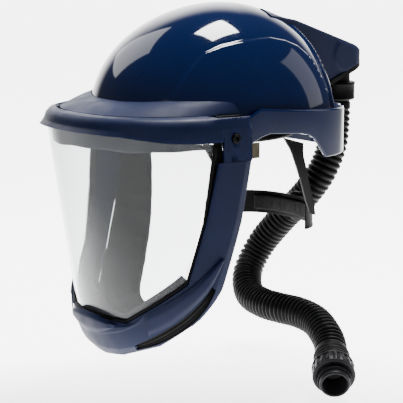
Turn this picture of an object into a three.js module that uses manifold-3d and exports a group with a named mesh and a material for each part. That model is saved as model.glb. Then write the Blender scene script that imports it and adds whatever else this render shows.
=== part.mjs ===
// Powered air respirator headtop: a helmet with a lifting visor, a head harness and a breathing hose.
// Millimetres, +Z up. The front faces -Y and the wearer's left is +X. The origin lies between the
// wearer's temples, at headband height.
import * as THREE from 'three';
import { mergeVertices } from 'three/addons/utils/BufferGeometryUtils.js';
import Module from 'manifold-3d';

const manifold = await Module();
manifold.setup();

const { lerp, smoothstep, degToRad } = THREE.MathUtils;
const vec = (x, y, z) => new THREE.Vector3(x, y, z);
const RIGHT = vec(1, 0, 0);
const UP = vec(0, 0, 1);
const SIDES = [['left', 1], ['right', -1]];

// ---------------------------------------------------------------- driving dimensions

const GAP = 0.35; // air between touching pieces
const GAP_ANGLE = 0.17; // the same air, as degrees round the face

// Ovals in plan: half width, reach to the front and rear of centreY, and how square each end is.
const DOME = { half: 112, front: 127, rear: 136, frontPower: 2.2, rearPower: 2.7, centreY: 20 };
const DOME_HEIGHT = 124;
const DOME_LEAN = 16; // how far the crown sits behind the middle of the rim
const DOME_COLUMNS = 32;
const DOME_RISES = [90, 77, 64, 50, 36, 23, 11, 0];
const SHELL_THICK = 3;

const SKIRT = { half: 119, front: 170, rear: 150, frontPower: 2.8, rearPower: 2.8, centreY: 15 };
const SKIRT_FRONT_Y = -17;
const SKIRT_TOP = [[-17, 14.7], [-10, 14.7], [4, 21.8], [60, 17.2], [130, 13.4], [170, 13.4]];
const SKIRT_BOTTOM = [[-17, -18], [-4, -11], [6, -6.8], [16, -4.4], [56, -7.2], [68, -9.6], [77, -14],
  [97, -35.7], [170, -36.5]];
const GUTTER_Z = 8;

const BAND = { half: 122, front: 141, rear: 141, frontPower: 2.4, rearPower: 2.4, centreY: -14 };
const BROW = { half: 109, front: 129, rear: 129, frontPower: 2.2, rearPower: 2.2, centreY: -14 };

// The face surface that the pane and its frame lie on, by height.
const FACE = {
  half: 121, depth: 140, power: 2.2, browPower: 2.4, browZ: -5, browY: -154, slope: 0.145,
  jawZ: -150, jawDrop: 98, chinZ: -195, chinDrop: 52.5, chinSweep: 34,
};
const PANE_TOP = 4.5;
const PANE_BOTTOM = -193;
const PANE_OUT = -0.9;
const PANE_IN = -3.4;
const FRAME_OUT = 3;
const FRAME_IN = -2;
const SEAM_Z = -28.4; // where the band's wings meet the side frames

// Half angles round the face, in degrees from straight ahead, by height.
const PANE_EDGE = [[PANE_BOTTOM, 22.8], [-150, 50], [-20, 72]];
const REAR_EDGE = [[-240, 10], [-237.8, 17], [-228, 40.5], [-216, 50], [-201, 55.6], [-184.6, 60],
  [-167, 64.5], [-152, 68.5], [-108, 77.6], [-68, 84.3], [-28, 90.3]];
const GASKET_ANGLE = 1.5;
const GASKET_DROP = 3;

const PIVOT_Y = -31;
const PIVOT_Z = -5;
const PIVOT_INNER = 101;
const PIVOT_OUTER = 116.6;
const SCREW_HEAD = 122.4; // where the counterbore for the screw's head starts

const HOSE_Y = 200;
const HOSE_RADIUS = 17.5;
const HOSE_STEPS = 42;
const COUPLING_AXIS = vec(0.77, -0.54, -0.34).normalize();
const COUPLING_START = vec(136, 86, -245);

const HEADBAND = { half: 86, front: 101, rear: 101, frontPower: 2.2, rearPower: 2.2, centreY: 14 };
const HEADBAND_TOP = 10;
const HEADBAND_BOTTOM = -17;

// ---------------------------------------------------------------- materials

const COLOURS = {
  shell: [0x12306e, 0.12], moulding: [0x2c3558, 0.55], black: [0x16171a, 0.6], rubber: [0x101113, 0.8],
  pane: [0x9aa0a2, 0.06], grey: [0x55585a, 0.6], webbing: [0x33363c, 0.9], steel: [0x8f9296, 0.35],
  seal: [0x17181b, 0.95], padding: [0x6d6a58, 0.9], ring: [0x3c3f42, 0.5],
};

function material(slot) {
  const [color, roughness] = COLOURS[slot];
  return new THREE.MeshStandardMaterial({ color, roughness, metalness: slot === 'steel' ? 1 : 0 });
}

const model = new THREE.Group();

function part(name, slot, geometry) {
  const mesh = new THREE.Mesh(geometry, material(slot));
  mesh.name = name;
  model.add(mesh);
  return mesh;
}

// ---------------------------------------------------------------- solids

/** Evenly spaced values from first to last. */
function spread(first, last, count) {
  return Array.from({ length: count + 1 }, (_, i) => lerp(first, last, i / count));
}

/** Value at x on a broken line through [x, value] stations. */
function along(stations, x) {
  const last = stations.length - 1;
  if (x <= stations[0][0]) return stations[0][1];
  if (x >= stations[last][0]) return stations[last][1];
  const next = stations.findIndex(([at]) => at > x);
  const [x0, v0] = stations[next - 1];
  const [x1, v1] = stations[next];
  return lerp(v0, v1, (x - x0) / (x1 - x0));
}

/** Signed volume of a triangle soup, positive when its faces look outward. */
function signedVolume(corners) {
  let volume = 0;
  for (let i = 0; i < corners.length; i += 3) {
    volume += corners[i].dot(vec(0, 0, 0).crossVectors(corners[i + 1], corners[i + 2]));
  }
  return volume;
}

/** Closed geometry from triangle corners, turned to face outward, with pole slivers dropped. */
function closedGeometry(corners) {
  const kept = [];
  for (let i = 0; i < corners.length; i += 3) {
    const [a, b, c] = corners.slice(i, i + 3);
    if (a.distanceTo(b) > 1e-4 && b.distanceTo(c) > 1e-4 && c.distanceTo(a) > 1e-4) kept.push(a, b, c);
  }
  if (signedVolume(kept) < 0) kept.reverse();
  return mergeVertices(new THREE.BufferGeometry().setFromPoints(kept), 1e-4);
}

/** Closed solid between two surfaces of (u, v). With wraps, the last u joins the first. */
function thickSheet(outer, inner, us, vs, wraps = false) {
  const corners = [];
  const quad = (a, b, c, d) => corners.push(a, b, c, a, c, d);
  const sample = (surface) => us.map((u) => vs.map((v) => surface(u, v)));
  const top = sample(outer);
  const under = sample(inner);
  const columns = wraps ? us.length : us.length - 1;
  const lastRow = vs.length - 1;
  for (let i = 0; i < columns; i += 1) {
    const j = (i + 1) % us.length;
    for (let k = 0; k < lastRow; k += 1) {
      quad(top[i][k], top[j][k], top[j][k + 1], top[i][k + 1]);
      quad(under[j][k], under[i][k], under[i][k + 1], under[j][k + 1]);
    }
    quad(top[j][0], top[i][0], under[i][0], under[j][0]);
    quad(top[i][lastRow], top[j][lastRow], under[j][lastRow], under[i][lastRow]);
  }
  if (!wraps) {
    const end = us.length - 1;
    for (let k = 0; k < lastRow; k += 1) {
      quad(top[0][k], top[0][k + 1], under[0][k + 1], under[0][k]);
      quad(top[end][k + 1], top[end][k], under[end][k], under[end][k + 1]);
    }
  }
  return closedGeometry(corners);
}

/** Sheet of even thickness, laid on the side of a surface of (u, v) that its normal points to. */
function evenSheet(surface, thickness, us, vs) {
  const step = 1e-3;
  const offset = (u, v) => {
    const alongU = surface(u + step, v).sub(surface(u - step, v));
    const alongV = surface(u, v + step).sub(surface(u, v - step));
    return surface(u, v).addScaledVector(alongU.cross(alongV).normalize(), thickness);
  };
  return thickSheet(surface, offset, us, vs);
}

function toSolid(geometry) {
  const bare = new THREE.BufferGeometry();
  bare.setAttribute('position', geometry.getAttribute('position'));
  bare.setIndex(geometry.getIndex());
  const merged = mergeVertices(bare, 1e-4);
  return new manifold.Manifold(new manifold.Mesh({
    numProp: 3,
    vertProperties: Float32Array.from(merged.getAttribute('position').array),
    triVerts: Uint32Array.from(merged.getIndex().array),
  }));
}

function toGeometry(solid) {
  const { vertProperties, triVerts } = solid.getMesh();
  const geometry = new THREE.BufferGeometry();
  geometry.setAttribute('position', new THREE.BufferAttribute(vertProperties, 3));
  geometry.setIndex(new THREE.BufferAttribute(triVerts, 1));
  return geometry;
}

const cut = (body, ...tools) =>
  toGeometry(tools.reduce((solid, tool) => solid.subtract(toSolid(tool)), toSolid(body)));
const join = (first, ...others) =>
  toGeometry(others.reduce((solid, other) => solid.add(toSolid(other)), toSolid(first)));
const common = (first, second) => toGeometry(toSolid(first).intersect(toSolid(second)));

/** Geometry built along +Y, turned to run along an axis from a point. */
function placed(geometry, origin, axis) {
  const turn = new THREE.Quaternion().setFromUnitVectors(vec(0, 1, 0), axis);
  return geometry.clone().applyQuaternion(turn).translate(origin.x, origin.y, origin.z);
}

/** Solid of revolution from [radius, height] points that start and end on the axis. */
function turned(profile, segments) {
  return new THREE.LatheGeometry(profile.map(([r, h]) => new THREE.Vector2(r, h)), segments);
}

/** Straight tube or washer from one height to another. */
function ring(inner, outer, from, to, segments) {
  return turned([[inner, from], [outer, from], [outer, to], [inner, to], [inner, from]], segments);
}

function rod(radius, from, to, segments) {
  return turned([[0, from], [radius, from], [radius, to], [0, to]], segments);
}

/** Prism along +X from a side outline of [y, z] points. */
function sideways(outline, half) {
  const shape = new THREE.Shape(outline.map(([y, z]) => new THREE.Vector2(y, z)));
  const slab = new THREE.ExtrudeGeometry(shape, { depth: 2 * half, bevelEnabled: false });
  const axes = new THREE.Matrix4().makeBasis(vec(0, 1, 0), UP, RIGHT);
  return slab.translate(0, 0, -half).applyMatrix4(axes);
}

function box(centre, size) {
  return new THREE.BoxGeometry(size.x, size.y, size.z).translate(centre.x, centre.y, centre.z);
}

// ---------------------------------------------------------------- shared surfaces

/** Point on an oval, by angle in degrees from straight ahead, positive towards +X. */
function ovalPoint(oval, degrees, grow, z, scale = 1) {
  const sine = Math.sin(degToRad(degrees));
  const cosine = Math.cos(degToRad(degrees));
  const reach = (cosine > 0 ? oval.front : oval.rear) + grow;
  const power = cosine > 0 ? oval.frontPower : oval.rearPower;
  const sum = Math.abs(sine / (oval.half + grow)) ** power + Math.abs(cosine / reach) ** power;
  const radius = scale * sum ** (-1 / power);
  return vec(radius * sine, oval.centreY - radius * cosine, z);
}

/** Point on the dome at a rise in degrees, from 0 at the rim to 90 at the crown. */
function domePoint(degrees, rise, grow) {
  const sine = Math.sin(degToRad(rise));
  const point = ovalPoint(DOME, degrees, grow, (DOME_HEIGHT + grow) * sine, Math.cos(degToRad(rise)));
  point.y += DOME_LEAN * sine ** 4;
  return point;
}

/** Rise in degrees of a height on the dome. */
const riseAt = (z) => THREE.MathUtils.radToDeg(Math.asin(z / DOME_HEIGHT));

/** Point on the face surface, by angle in degrees from straight ahead and height. */
function facePoint(degrees, z, grow) {
  const jaw = Math.max(0, FACE.jawZ - z) / FACE.jawDrop;
  const narrow = (1 - jaw ** FACE.power) ** (1 / FACE.power);
  const squareness = (z - FACE.jawZ) / (FACE.browZ - FACE.jawZ);
  const power = lerp(FACE.power, FACE.browPower, THREE.MathUtils.clamp(squareness, 0, 1));
  const chin = Math.max(0, FACE.chinZ - z) / FACE.chinDrop;
  const sweep = FACE.chinSweep * (1 - Math.sqrt(1 - chin ** 2));
  const frontY = FACE.browY + FACE.slope * (FACE.browZ - Math.max(z, FACE.chinZ)) + sweep;
  const depth = FACE.depth * narrow;
  const oval = {
    half: FACE.half * narrow, front: depth, rear: depth,
    frontPower: power, rearPower: power, centreY: frontY + depth,
  };
  return ovalPoint(oval, degrees, grow, z);
}

/** Outward direction of the face surface. */
function faceNormal(degrees, z) {
  const across = facePoint(degrees + 1, z, 0).sub(facePoint(degrees - 1, z, 0));
  const upward = facePoint(degrees, z + 1, 0).sub(facePoint(degrees, z - 1, 0));
  return across.cross(upward).normalize();
}

/** Sheet of the face whose half angle changes with height. Heights run in rows from the top. */
function faceRows(edge, widen, rows, outGrow, inGrow, columns) {
  const surface = (grow) => (u, z) => facePoint(u * (along(edge, z) + widen), z, grow);
  return thickSheet(surface(outGrow), surface(inGrow), spread(-1, 1, columns), rows);
}

/** Patch of the face between two smooth lines through [degrees, z] points, trimmed at each end. */
function facePatch(upper, lower, side, outGrow, inGrow, columns, rows, trim = 0) {
  const spline = (points) => new THREE.SplineCurve(points.map(([a, z]) => new THREE.Vector2(a, z)));
  const top = spline(upper);
  const bottom = spline(lower);
  const surface = (grow) => (u, v) => {
    const at = top.getPoint(u).lerp(bottom.getPoint(u), v);
    return facePoint(side * at.x, at.y, grow);
  };
  return thickSheet(surface(outGrow), surface(inGrow), spread(trim, 1 - trim, columns), spread(0, 1, rows));
}

// ---------------------------------------------------------------- helmet shell

function domeShell(outGrow, inGrow) {
  const surface = (grow) => (u, v) => domePoint(u, v, grow);
  const turns = spread(0, 360, DOME_COLUMNS).slice(0, -1);
  return thickSheet(surface(outGrow), surface(inGrow), turns, DOME_RISES, true);
}

/** The dome with a little air round it, for cutting pieces that rest on the shell. */
const domeBlock = () => domeShell(GAP, -40);

function skirtSheet(outGrow, inGrow, topOf, bottomOf) {
  const surface = (grow) => (u, v) => {
    const point = ovalPoint(SKIRT, 180 + u, grow, 0);
    point.z = lerp(topOf(point.y), bottomOf(point.y), v);
    return point;
  };
  return thickSheet(surface(outGrow), surface(inGrow), spread(-104, 104, 34), [0, 1]);
}

function helmetShell() {
  const dome = domeShell(0, -SHELL_THICK);
  const skirt = skirtSheet(0, -SHELL_THICK, (y) => along(SKIRT_TOP, y), (y) => along(SKIRT_BOTTOM, y));
  const gutterWall = (u, z) => ovalPoint(DOME, 180 + u, -1, z);
  const gutterEdge = (u, z) => ovalPoint(SKIRT, 180 + u, -1.5, z);
  const gutter = thickSheet(gutterEdge, gutterWall, spread(-98, 98, 28), [GUTTER_Z + SHELL_THICK, GUTTER_Z]);
  const front = box(vec(0, SKIRT_FRONT_Y - 100, -15), vec(260, 200, 70));
  const rim = cut(join(skirt, gutter), front);
  const airInlet = placed(rod(20, 0, 60, 20), vec(0, 110, 60), UP);
  return cut(join(dome, rim), airInlet);
}
part('helmet_shell', 'shell', helmetShell());

// ---------------------------------------------------------------- rear air duct

const DUCT_TAPER = [[70, 48], [200, 26]]; // half width in plan by y, ending in a round rear
const DUCT_REAR_RADIUS = 26;
const DUCT_TOP = [[70, 117], [230, 66]];
const DUCT_FLOOR = [[140, 26], [230, 57.5]];
const DUCT_WALL = 2.5;

/** Upright block with the duct's outline in plan. */
function ductPlan(grow) {
  const shape = new THREE.Shape();
  const [[frontY, frontHalf], [rearY]] = DUCT_TAPER;
  const lean = Math.atan2(frontHalf - DUCT_REAR_RADIUS, rearY - frontY);
  const radius = DUCT_REAR_RADIUS + grow;
  shape.moveTo(-frontHalf - grow, frontY);
  shape.lineTo(frontHalf + grow, frontY);
  shape.absarc(0, rearY, radius, lean, Math.PI - lean, false);
  return new THREE.ExtrudeGeometry(shape, { depth: 160, bevelEnabled: false, curveSegments: 12 });
}

/** Slab seen from the side, between two broken lines of [y, z]. */
function sideSlab(upper, lower) {
  return sideways([...lower, ...[...upper].reverse()], 70);
}

const shifted = (line, rise) => line.map(([y, z]) => [y, z + rise]);

function ductCover() {
  const outside = common(ductPlan(0), sideSlab(DUCT_TOP, DUCT_FLOOR));
  const inside = common(ductPlan(-DUCT_WALL), sideSlab(shifted(DUCT_TOP, -DUCT_WALL), shifted(DUCT_FLOOR, -9)));
  return cut(outside, inside, domeBlock());
}
part('duct_cover', 'moulding', ductCover());

const FLANGE_THICK = 5;
const SPIGOT_BOTTOM = 7;

function ductBase() {
  const floor = shifted(DUCT_FLOOR, -GAP);
  const plate = common(ductPlan(1.5), sideSlab(floor, shifted(floor, -FLANGE_THICK)));
  const tube = placed(rod(HOSE_RADIUS - 1, SPIGOT_BOTTOM, 45, 20), vec(0, HOSE_Y, 0), UP);
  const above = sideSlab(shifted(floor, 60), floor);
  const bore = placed(rod(HOSE_RADIUS - 3.5, 0, 90, 20), vec(0, HOSE_Y, 0), UP);
  return cut(join(plate, tube), above, bore, domeBlock(), skirtSheet(2, -12, () => 30, () => 0));
}
part('duct_base', 'black', ductBase());

const COLLAR_BOTTOM = 9.6;
const COLLAR_TOP = 30;

function hoseCollar() {
  const body = ring(HOSE_RADIUS - 1 + GAP, 22.5, COLLAR_BOTTOM, COLLAR_TOP, 20);
  return placed(body, vec(0, HOSE_Y, 0), UP);
}
part('hose_collar', 'black', hoseCollar());

// ---------------------------------------------------------------- brow cover and seals on the shell

const BROW_REAR_ANGLE = 76; // where the cover ends on the dome, in degrees round the dome
const BROW_SEAM_Z = 17.5;

function browCover() {
  const upper = (u) => {
    const z = lerp(27.5, 31, smoothstep(Math.abs(u), 0.1, 0.6)) - 12 * smoothstep(Math.abs(u), 0.9, 1);
    return domePoint(u * BROW_REAR_ANGLE, riseAt(z), 1);
  };
  const outer = (u, v) => upper(u).lerp(ovalPoint(BROW, u * 93, 0, BROW_SEAM_Z), v);
  const inner = (u, v) => outer(u, v).add(vec(0, 0, -2.5));
  const half = [...spread(0.08, 0.88, 10), 0.92, 0.96, 1];
  const lid = thickSheet(outer, inner, [...half.map((u) => -u).reverse(), 0, ...half], [0, 1]);
  const lip = thickSheet(
    (u, z) => ovalPoint(BROW, u, 0, z),
    (u, z) => ovalPoint(BROW, u, -2.5, z),
    spread(-88, 88, 32), [BROW_SEAM_Z - 0.2, 8],
  );
  return cut(join(lid, lip), domeBlock());
}
part('brow_cover', 'moulding', browCover());

function browGasket() {
  return thickSheet(
    (u, z) => ovalPoint(BROW, u, -2.5 - GAP, z),
    (u, z) => ovalPoint(BROW, u, -6.5, z),
    spread(-60, 60, 18), [BROW_SEAM_Z - 3.5, 3],
  );
}
part('brow_gasket', 'rubber', browGasket());

/** Ribbed strip that closes the gap between the brow cover's rear end and a wing of the visor band. */
function browStrip(side) {
  const strip = thickSheet(
    (u, z) => ovalPoint(BAND, side * u, -6, z),
    (u, z) => ovalPoint(BROW, side * u, 0.8, z),
    spread(76, 87, 4), [BROW_SEAM_Z - 0.5, BROW_SEAM_Z - 4],
  );
  return cut(strip, domeBlock());
}
SIDES.forEach(([name, side]) => part(`brow_strip_${name}`, 'rubber', browStrip(side)));

// ---------------------------------------------------------------- visor band with its pivot wings

const WING_FRONT = 75.6; // degrees round the band where the deep wings begin
const WING_REAR = 91;
// Section stations of [offset from the crest line, z], from the inner edge of the top flange down.
const BAND_OUTER = [[-10, 17.6], [-4, 16], [0, 11.5], [1.8, 6], [2.2, 5], [6.5, 0.6]];
const BAND_INNER = [[-10, 15], [-5.5, 13.5], [-3.5, 10], [-3.5, 6.5], [0.6, 5.4], [0.6, 0.6]];
const WING_OUTER = [[-1.6, 16], [-0.8, 15.5], [0, 11.5], [1, 6], [1.4, 5], [3, -28]];
const WING_INNER = [[-2.4, 16], [-2.4, 14.5], [-2.4, 10], [-2.4, 6.5], [-2.4, 5.4], [-1, -28]];
// The band's lower edge by angle: its height, and how far its outer face flares past the crest line.
const BAND_LOW = [[20, 0.6], [32, -0.6], [50, -6.5], [60, -8]];
const BAND_FLARE = [[24, 6.5], [56, 3]];

function visorBand() {
  const lowest = BAND_OUTER.length - 1;
  const surface = (band, wing) => (u, v) => {
    const angle = Math.abs(u);
    const blend = smoothstep(angle, WING_FRONT - 8, WING_FRONT - 0.5);
    if (v < lowest) {
      return ovalPoint(BAND, u, lerp(band[v][0], wing[v][0], blend), lerp(band[v][1], wing[v][1], blend));
    }
    const grow = band === BAND_OUTER ? along(BAND_FLARE, angle) : lerp(band[v][0], wing[v][0], blend);
    return ovalPoint(BAND, u, grow, angle > WING_FRONT ? wing[v][1] : along(BAND_LOW, angle));
  };
  const half = [...spread(5, 60, 8), 64, 68, 71, WING_FRONT - 1.2, WING_FRONT + 0.1, 83, WING_REAR];
  const us = [...half.map((u) => -u).reverse(), 0, ...half];
  const sheet = thickSheet(surface(BAND_OUTER, WING_OUTER), surface(BAND_INNER, WING_INNER), us, [0, 1, 2, 3, 4, 5]);
  const holes = SIDES.flatMap(([, side]) => [
    placed(rod(3.2, 100, 140, 14), vec(0, PIVOT_Y, PIVOT_Z), vec(side, 0, 0)),
    placed(rod(5.6, SCREW_HEAD, 140, 14), vec(0, PIVOT_Y, PIVOT_Z), vec(side, 0, 0)),
  ]);
  return cut(sheet, ...holes);
}
part('visor_band', 'moulding', visorBand());

// ---------------------------------------------------------------- visor frame, pane and seals

const CUTTER_OUT = 15;
const CUTTER_IN = -15;
const SLOT_UPPER = [[31.5, -220.5], [38, -211], [46.8, -195], [55.5, -174], [62, -155]];
const SLOT_LOWER = [[33.5, -227], [45, -217.5], [53, -202], [59, -182], [63.5, -159]];

/** Cutter in the outline of an exhalation slot, pulled in all round by a margin. */
function slotCutter(side, margin) {
  const upper = SLOT_UPPER.map(([a, z]) => [a, z - margin]);
  const lower = SLOT_LOWER.map(([a, z]) => [a, z + margin]);
  return facePatch(upper, lower, side, CUTTER_OUT, CUTTER_IN, 7, 1, margin / 80);
}

/** Cutter in the outline of the pane, wider and deeper by a margin, with its top at a height. */
function paneCutter(widen, drop, top) {
  const rows = [top, -20, -63, -106, -150, -171, PANE_BOTTOM - drop];
  return faceRows(PANE_EDGE, widen, rows, CUTTER_OUT, CUTTER_IN, 18);
}

/** Plain sheet of the face between two heights, to be trimmed by a cutter. */
function faceSlab(outGrow, inGrow, rows) {
  return faceRows([[0, 80]], 0, rows, outGrow, inGrow, 24);
}

function visorFrame() {
  const rows = [SEAM_Z - GAP, -80, -130, -152, -176, -193, -207, -219, -229, -236, -240];
  const sheet = faceRows(REAR_EDGE, 0, rows, FRAME_OUT, FRAME_IN, 22);
  const slots = SIDES.map(([, side]) => slotCutter(side, 0));
  return cut(sheet, paneCutter(GASKET_ANGLE, GASKET_DROP, 20), ...slots);
}
part('visor_frame', 'moulding', visorFrame());

/** Blocks that square off the pane's top corners, which would sweep past the pivots. */
function topCorners() {
  return SIDES.map(([, side]) => box(vec(side * 120, -40, 10), vec(60, 64, 38)));
}

function visorPane() {
  const slab = faceSlab(PANE_OUT, PANE_IN, [PANE_TOP, -20, -63, -106, -150, -171, PANE_BOTTOM - 4]);
  return cut(common(slab, paneCutter(0, 0, 20)), ...topCorners());
}
part('visor_pane', 'pane', visorPane());

function visorGasket() {
  const slab = faceSlab(0.8, -3.6, [-9.5, -20, -63, -106, -150, -171, PANE_BOTTOM - 6]);
  const outside = common(slab, paneCutter(GASKET_ANGLE - GAP_ANGLE, GASKET_DROP - GAP, 20));
  return cut(outside, paneCutter(GAP_ANGLE, GAP, 20));
}
part('visor_gasket', 'rubber', visorGasket());

const EDGE_SEAL_OUT = PANE_IN - 0.9;
const EDGE_SEAL_IN = EDGE_SEAL_OUT - 2;
const topSeal = faceRows(PANE_EDGE, -1.5, [2, -19], EDGE_SEAL_OUT, EDGE_SEAL_IN, 20);
part('pane_top_seal', 'grey', cut(topSeal, ...topCorners()));
part('pane_bottom_seal', 'grey', faceRows(PANE_EDGE, -3, [-184, -192], EDGE_SEAL_OUT, EDGE_SEAL_IN, 8));

const CHIN_CLIP_OUT = 5;
const CLIP_UPPER = [[-33, -184.5], [-24, -198], [0, -199], [24, -198], [33, -184.5]];
const CLIP_LOWER = [[-33, -193], [-20, -208], [0, -216], [20, -208], [33, -193]];
part('chin_clip', 'moulding', facePatch(CLIP_UPPER, CLIP_LOWER, 1, CHIN_CLIP_OUT, FRAME_OUT + 0.7, 12, 3));

const TAB_UPPER = [[-19, -199], [-10, -193], [0, -191], [10, -193], [19, -199]];
const TAB_LOWER = [[-19, -202], [-10, -210], [0, -213], [10, -210], [19, -202]];
const TAB_IN = CHIN_CLIP_OUT + GAP;
part('grip_tab', 'moulding', facePatch(TAB_UPPER, TAB_LOWER, 1, TAB_IN + 2.5, TAB_IN, 10, 2));

const BAR_UPPER = [[33.8, -184], [42, -171.5], [50.5, -158], [60, -141], [68.2, -124.5]];
const BAR_LOWER = [[37, -207.5], [46, -193.5], [55, -172.5], [62.5, -151.5], [68.6, -129]];

/** Louvred insert that fills an exhalation slot. */
function exhalationGrille(side) {
  const slab = facePatch([[28, -222], [45, -190], [67, -145]], [[28, -234], [55, -210], [67, -160]], side,
    0.4, -1.4, 9, 3);
  const upper = new THREE.SplineCurve(SLOT_UPPER.map(([a, z]) => new THREE.Vector2(a, z - 3)));
  const lower = new THREE.SplineCurve(SLOT_LOWER.map(([a, z]) => new THREE.Vector2(a, z + 3)));
  const vents = spread(0.1, 0.66, 2).map((start) => {
    const span = (line) => [start, start + 0.22].map((u) => line.getPoint(u).toArray());
    return facePatch(span(upper), span(lower), side, CUTTER_OUT, CUTTER_IN, 1, 1);
  });
  return cut(common(slab, slotCutter(side, 1)), ...vents);
}

const VALVE_ANGLE = 48;
const VALVE_Z = -190;
const VALVE_RADIUS = 9;

/** Outlet parts on one side. Heights along the valve count outward from the frame's inner face. */
function exhalationParts(name, side) {
  part(`chin_bar_${name}`, 'moulding', facePatch(BAR_UPPER, BAR_LOWER, side, 7, FRAME_OUT + 0.6, 10, 1));
  part(`exhalation_grille_${name}`, 'black', exhalationGrille(side));
  const centre = facePoint(side * VALVE_ANGLE, VALVE_Z, FRAME_IN);
  const outward = faceNormal(side * VALVE_ANGLE, VALVE_Z);
  const seat = ring(VALVE_RADIUS - 3, VALVE_RADIUS + 2, -9, -6 - GAP, 16);
  part(`valve_disc_${name}`, 'rubber', placed(rod(VALVE_RADIUS, -6, -5, 16), centre, outward));
  part(`valve_seat_${name}`, 'black', placed(seat, centre, outward));
}
SIDES.forEach(([name, side]) => exhalationParts(name, side));

// Soft seal from the frame's rear edge in to the wearer's face, open at the top.
const HEM = [[89, 4, -22], [82, 2, -70], [73, -6, -120], [60, -22, -160], [36, -44, -188], [0, -56, -198]];
const SEAL_EDGE_Z = [-32, -74, -122, -168, -207, -232];
const SEAL_INSET = 1; // degrees in from the frame's rear edge
const SEAL_DEPTH = 1.2; // in from the frame's inner face

function faceSeal() {
  const hem = new THREE.CatmullRomCurve3(HEM.map(([x, y, z]) => vec(x, y, z)));
  const heights = SEAL_EDGE_Z.map((z, i) => [i / (SEAL_EDGE_Z.length - 1), z]);
  const surface = (u, v) => {
    const fromTop = 1 - Math.min(1, Math.abs(u));
    const z = along(heights, fromTop);
    const spreadOut = Math.min(1, Math.abs(u) * 4);
    const edge = facePoint((along(REAR_EDGE, z) - SEAL_INSET) * spreadOut, z, FRAME_IN - SEAL_DEPTH);
    const point = edge.lerp(hem.getPoint(fromTop), v);
    return vec(Math.sign(u) * point.x, point.y, point.z);
  };
  const half = [0.08, 0.17, 0.25, ...spread(0.33, 0.999, 8)];
  return evenSheet(surface, -2, [...half.map((u) => -u).reverse(), 0, ...half], [0, 0.35, 0.7, 1]);
}
part('face_seal', 'seal', faceSeal());

// ---------------------------------------------------------------- pivots

function pivotParts(name, side) {
  const at = vec(0, PIVOT_Y, PIVOT_Z);
  const axis = vec(side, 0, 0);
  const block = turned([[0, PIVOT_INNER], [12, PIVOT_INNER], [12, PIVOT_OUTER], [3, PIVOT_OUTER],
    [3, PIVOT_OUTER - 7], [0, PIVOT_OUTER - 7]], 16);
  const screw = turned([[0, PIVOT_OUTER - 6], [2.6, PIVOT_OUTER - 6], [2.6, SCREW_HEAD + GAP],
    [5, SCREW_HEAD + GAP], [5, 125], [4, 126], [1.6, 126], [1.6, 124.6], [0, 124.6]], 14);
  const washer = ring(3.1, 8.5, PIVOT_OUTER + GAP, PIVOT_OUTER + 1.2, 16);
  part(`pivot_block_${name}`, 'black', cut(placed(block, at, axis), domeBlock()));
  part(`pivot_washer_${name}`, 'steel', placed(washer, at, axis));
  part(`pivot_screw_${name}`, 'steel', placed(screw, at, axis));
}
SIDES.forEach(([name, side]) => pivotParts(name, side));

// ---------------------------------------------------------------- head harness

function headband() {
  return thickSheet(
    (u, z) => ovalPoint(HEADBAND, u, 0, z),
    (u, z) => ovalPoint(HEADBAND, u, -2, z),
    spread(0, 360, 36).slice(0, -1), [HEADBAND_TOP, HEADBAND_BOTTOM], true,
  );
}
part('headband', 'grey', headband());

function sweatband() {
  return thickSheet(
    (u, z) => ovalPoint(HEADBAND, u, -3, z),
    (u, z) => ovalPoint(HEADBAND, u, -7.5, z),
    spread(-62, 62, 16), [HEADBAND_TOP + 3, HEADBAND_BOTTOM - 2],
  );
}
part('sweatband', 'padding', sweatband());

const HANGER_ANGLES = [38, 142, 218, 322];

function hanger(degrees) {
  const wide = 9; // degrees
  return thickSheet(
    (u, z) => ovalPoint(DOME, u, -SHELL_THICK - 2.2, z),
    (u, z) => ovalPoint(HEADBAND, u, GAP, z),
    [degrees - wide / 2, degrees + wide / 2], [HEADBAND_TOP, HEADBAND_TOP - 16],
  );
}
HANGER_ANGLES.forEach((degrees, i) => part(`strap_hanger_${i + 1}`, 'grey', hanger(degrees)));

const STRAP_HALF = 9;
const STRAP_TOP = 88;

/** Webbing strap that arches over the head between two opposite corners of the headband. */
function strapSheet({ from, to, lift }) {
  const middle = from.clone().lerp(to, 0.5);
  const reach = from.clone().sub(middle);
  const across = vec(0, 0, 0).crossVectors(reach, UP).normalize();
  const base = HEADBAND_TOP + 1;
  const surface = (grow) => (u, v) => middle.clone()
    .addScaledVector(reach, Math.cos(v) * (1 + grow / reach.length()))
    .addScaledVector(UP, base + (STRAP_TOP + lift + grow - base) * Math.sin(v))
    .addScaledVector(across, u);
  return thickSheet(surface(0), surface(-1.4), [-STRAP_HALF, STRAP_HALF], spread(0.02, Math.PI - 0.02, 16));
}

function crownStraps() {
  const corner = (i) => ovalPoint(HEADBAND, HANGER_ANGLES[i], 4, 0);
  part('crown_strap_1', 'webbing', strapSheet({ from: corner(0), to: corner(2), lift: 0 }));
  part('crown_strap_2', 'webbing', strapSheet({ from: corner(1), to: corner(3), lift: 2.4 }));
}
crownStraps();

const ARM_ROUTE = [[88.5, 70, -18.5], [86, 82, -46], [81, 94, -72], [73, 110, -104]];

function napeArm(side) {
  const route = new THREE.CatmullRomCurve3(ARM_ROUTE.map(([x, y, z]) => vec(x, y, z)));
  const surface = (grow) => (u, v) => {
    const point = route.getPoint(v);
    return vec(side * (point.x + grow), point.y + u * 8, point.z - u * 3);
  };
  return thickSheet(surface(0), surface(-2.5), [-1, 1], spread(0, 1, 6));
}
SIDES.forEach(([name, side]) => part(`nape_arm_${name}`, 'grey', napeArm(side)));

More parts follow.
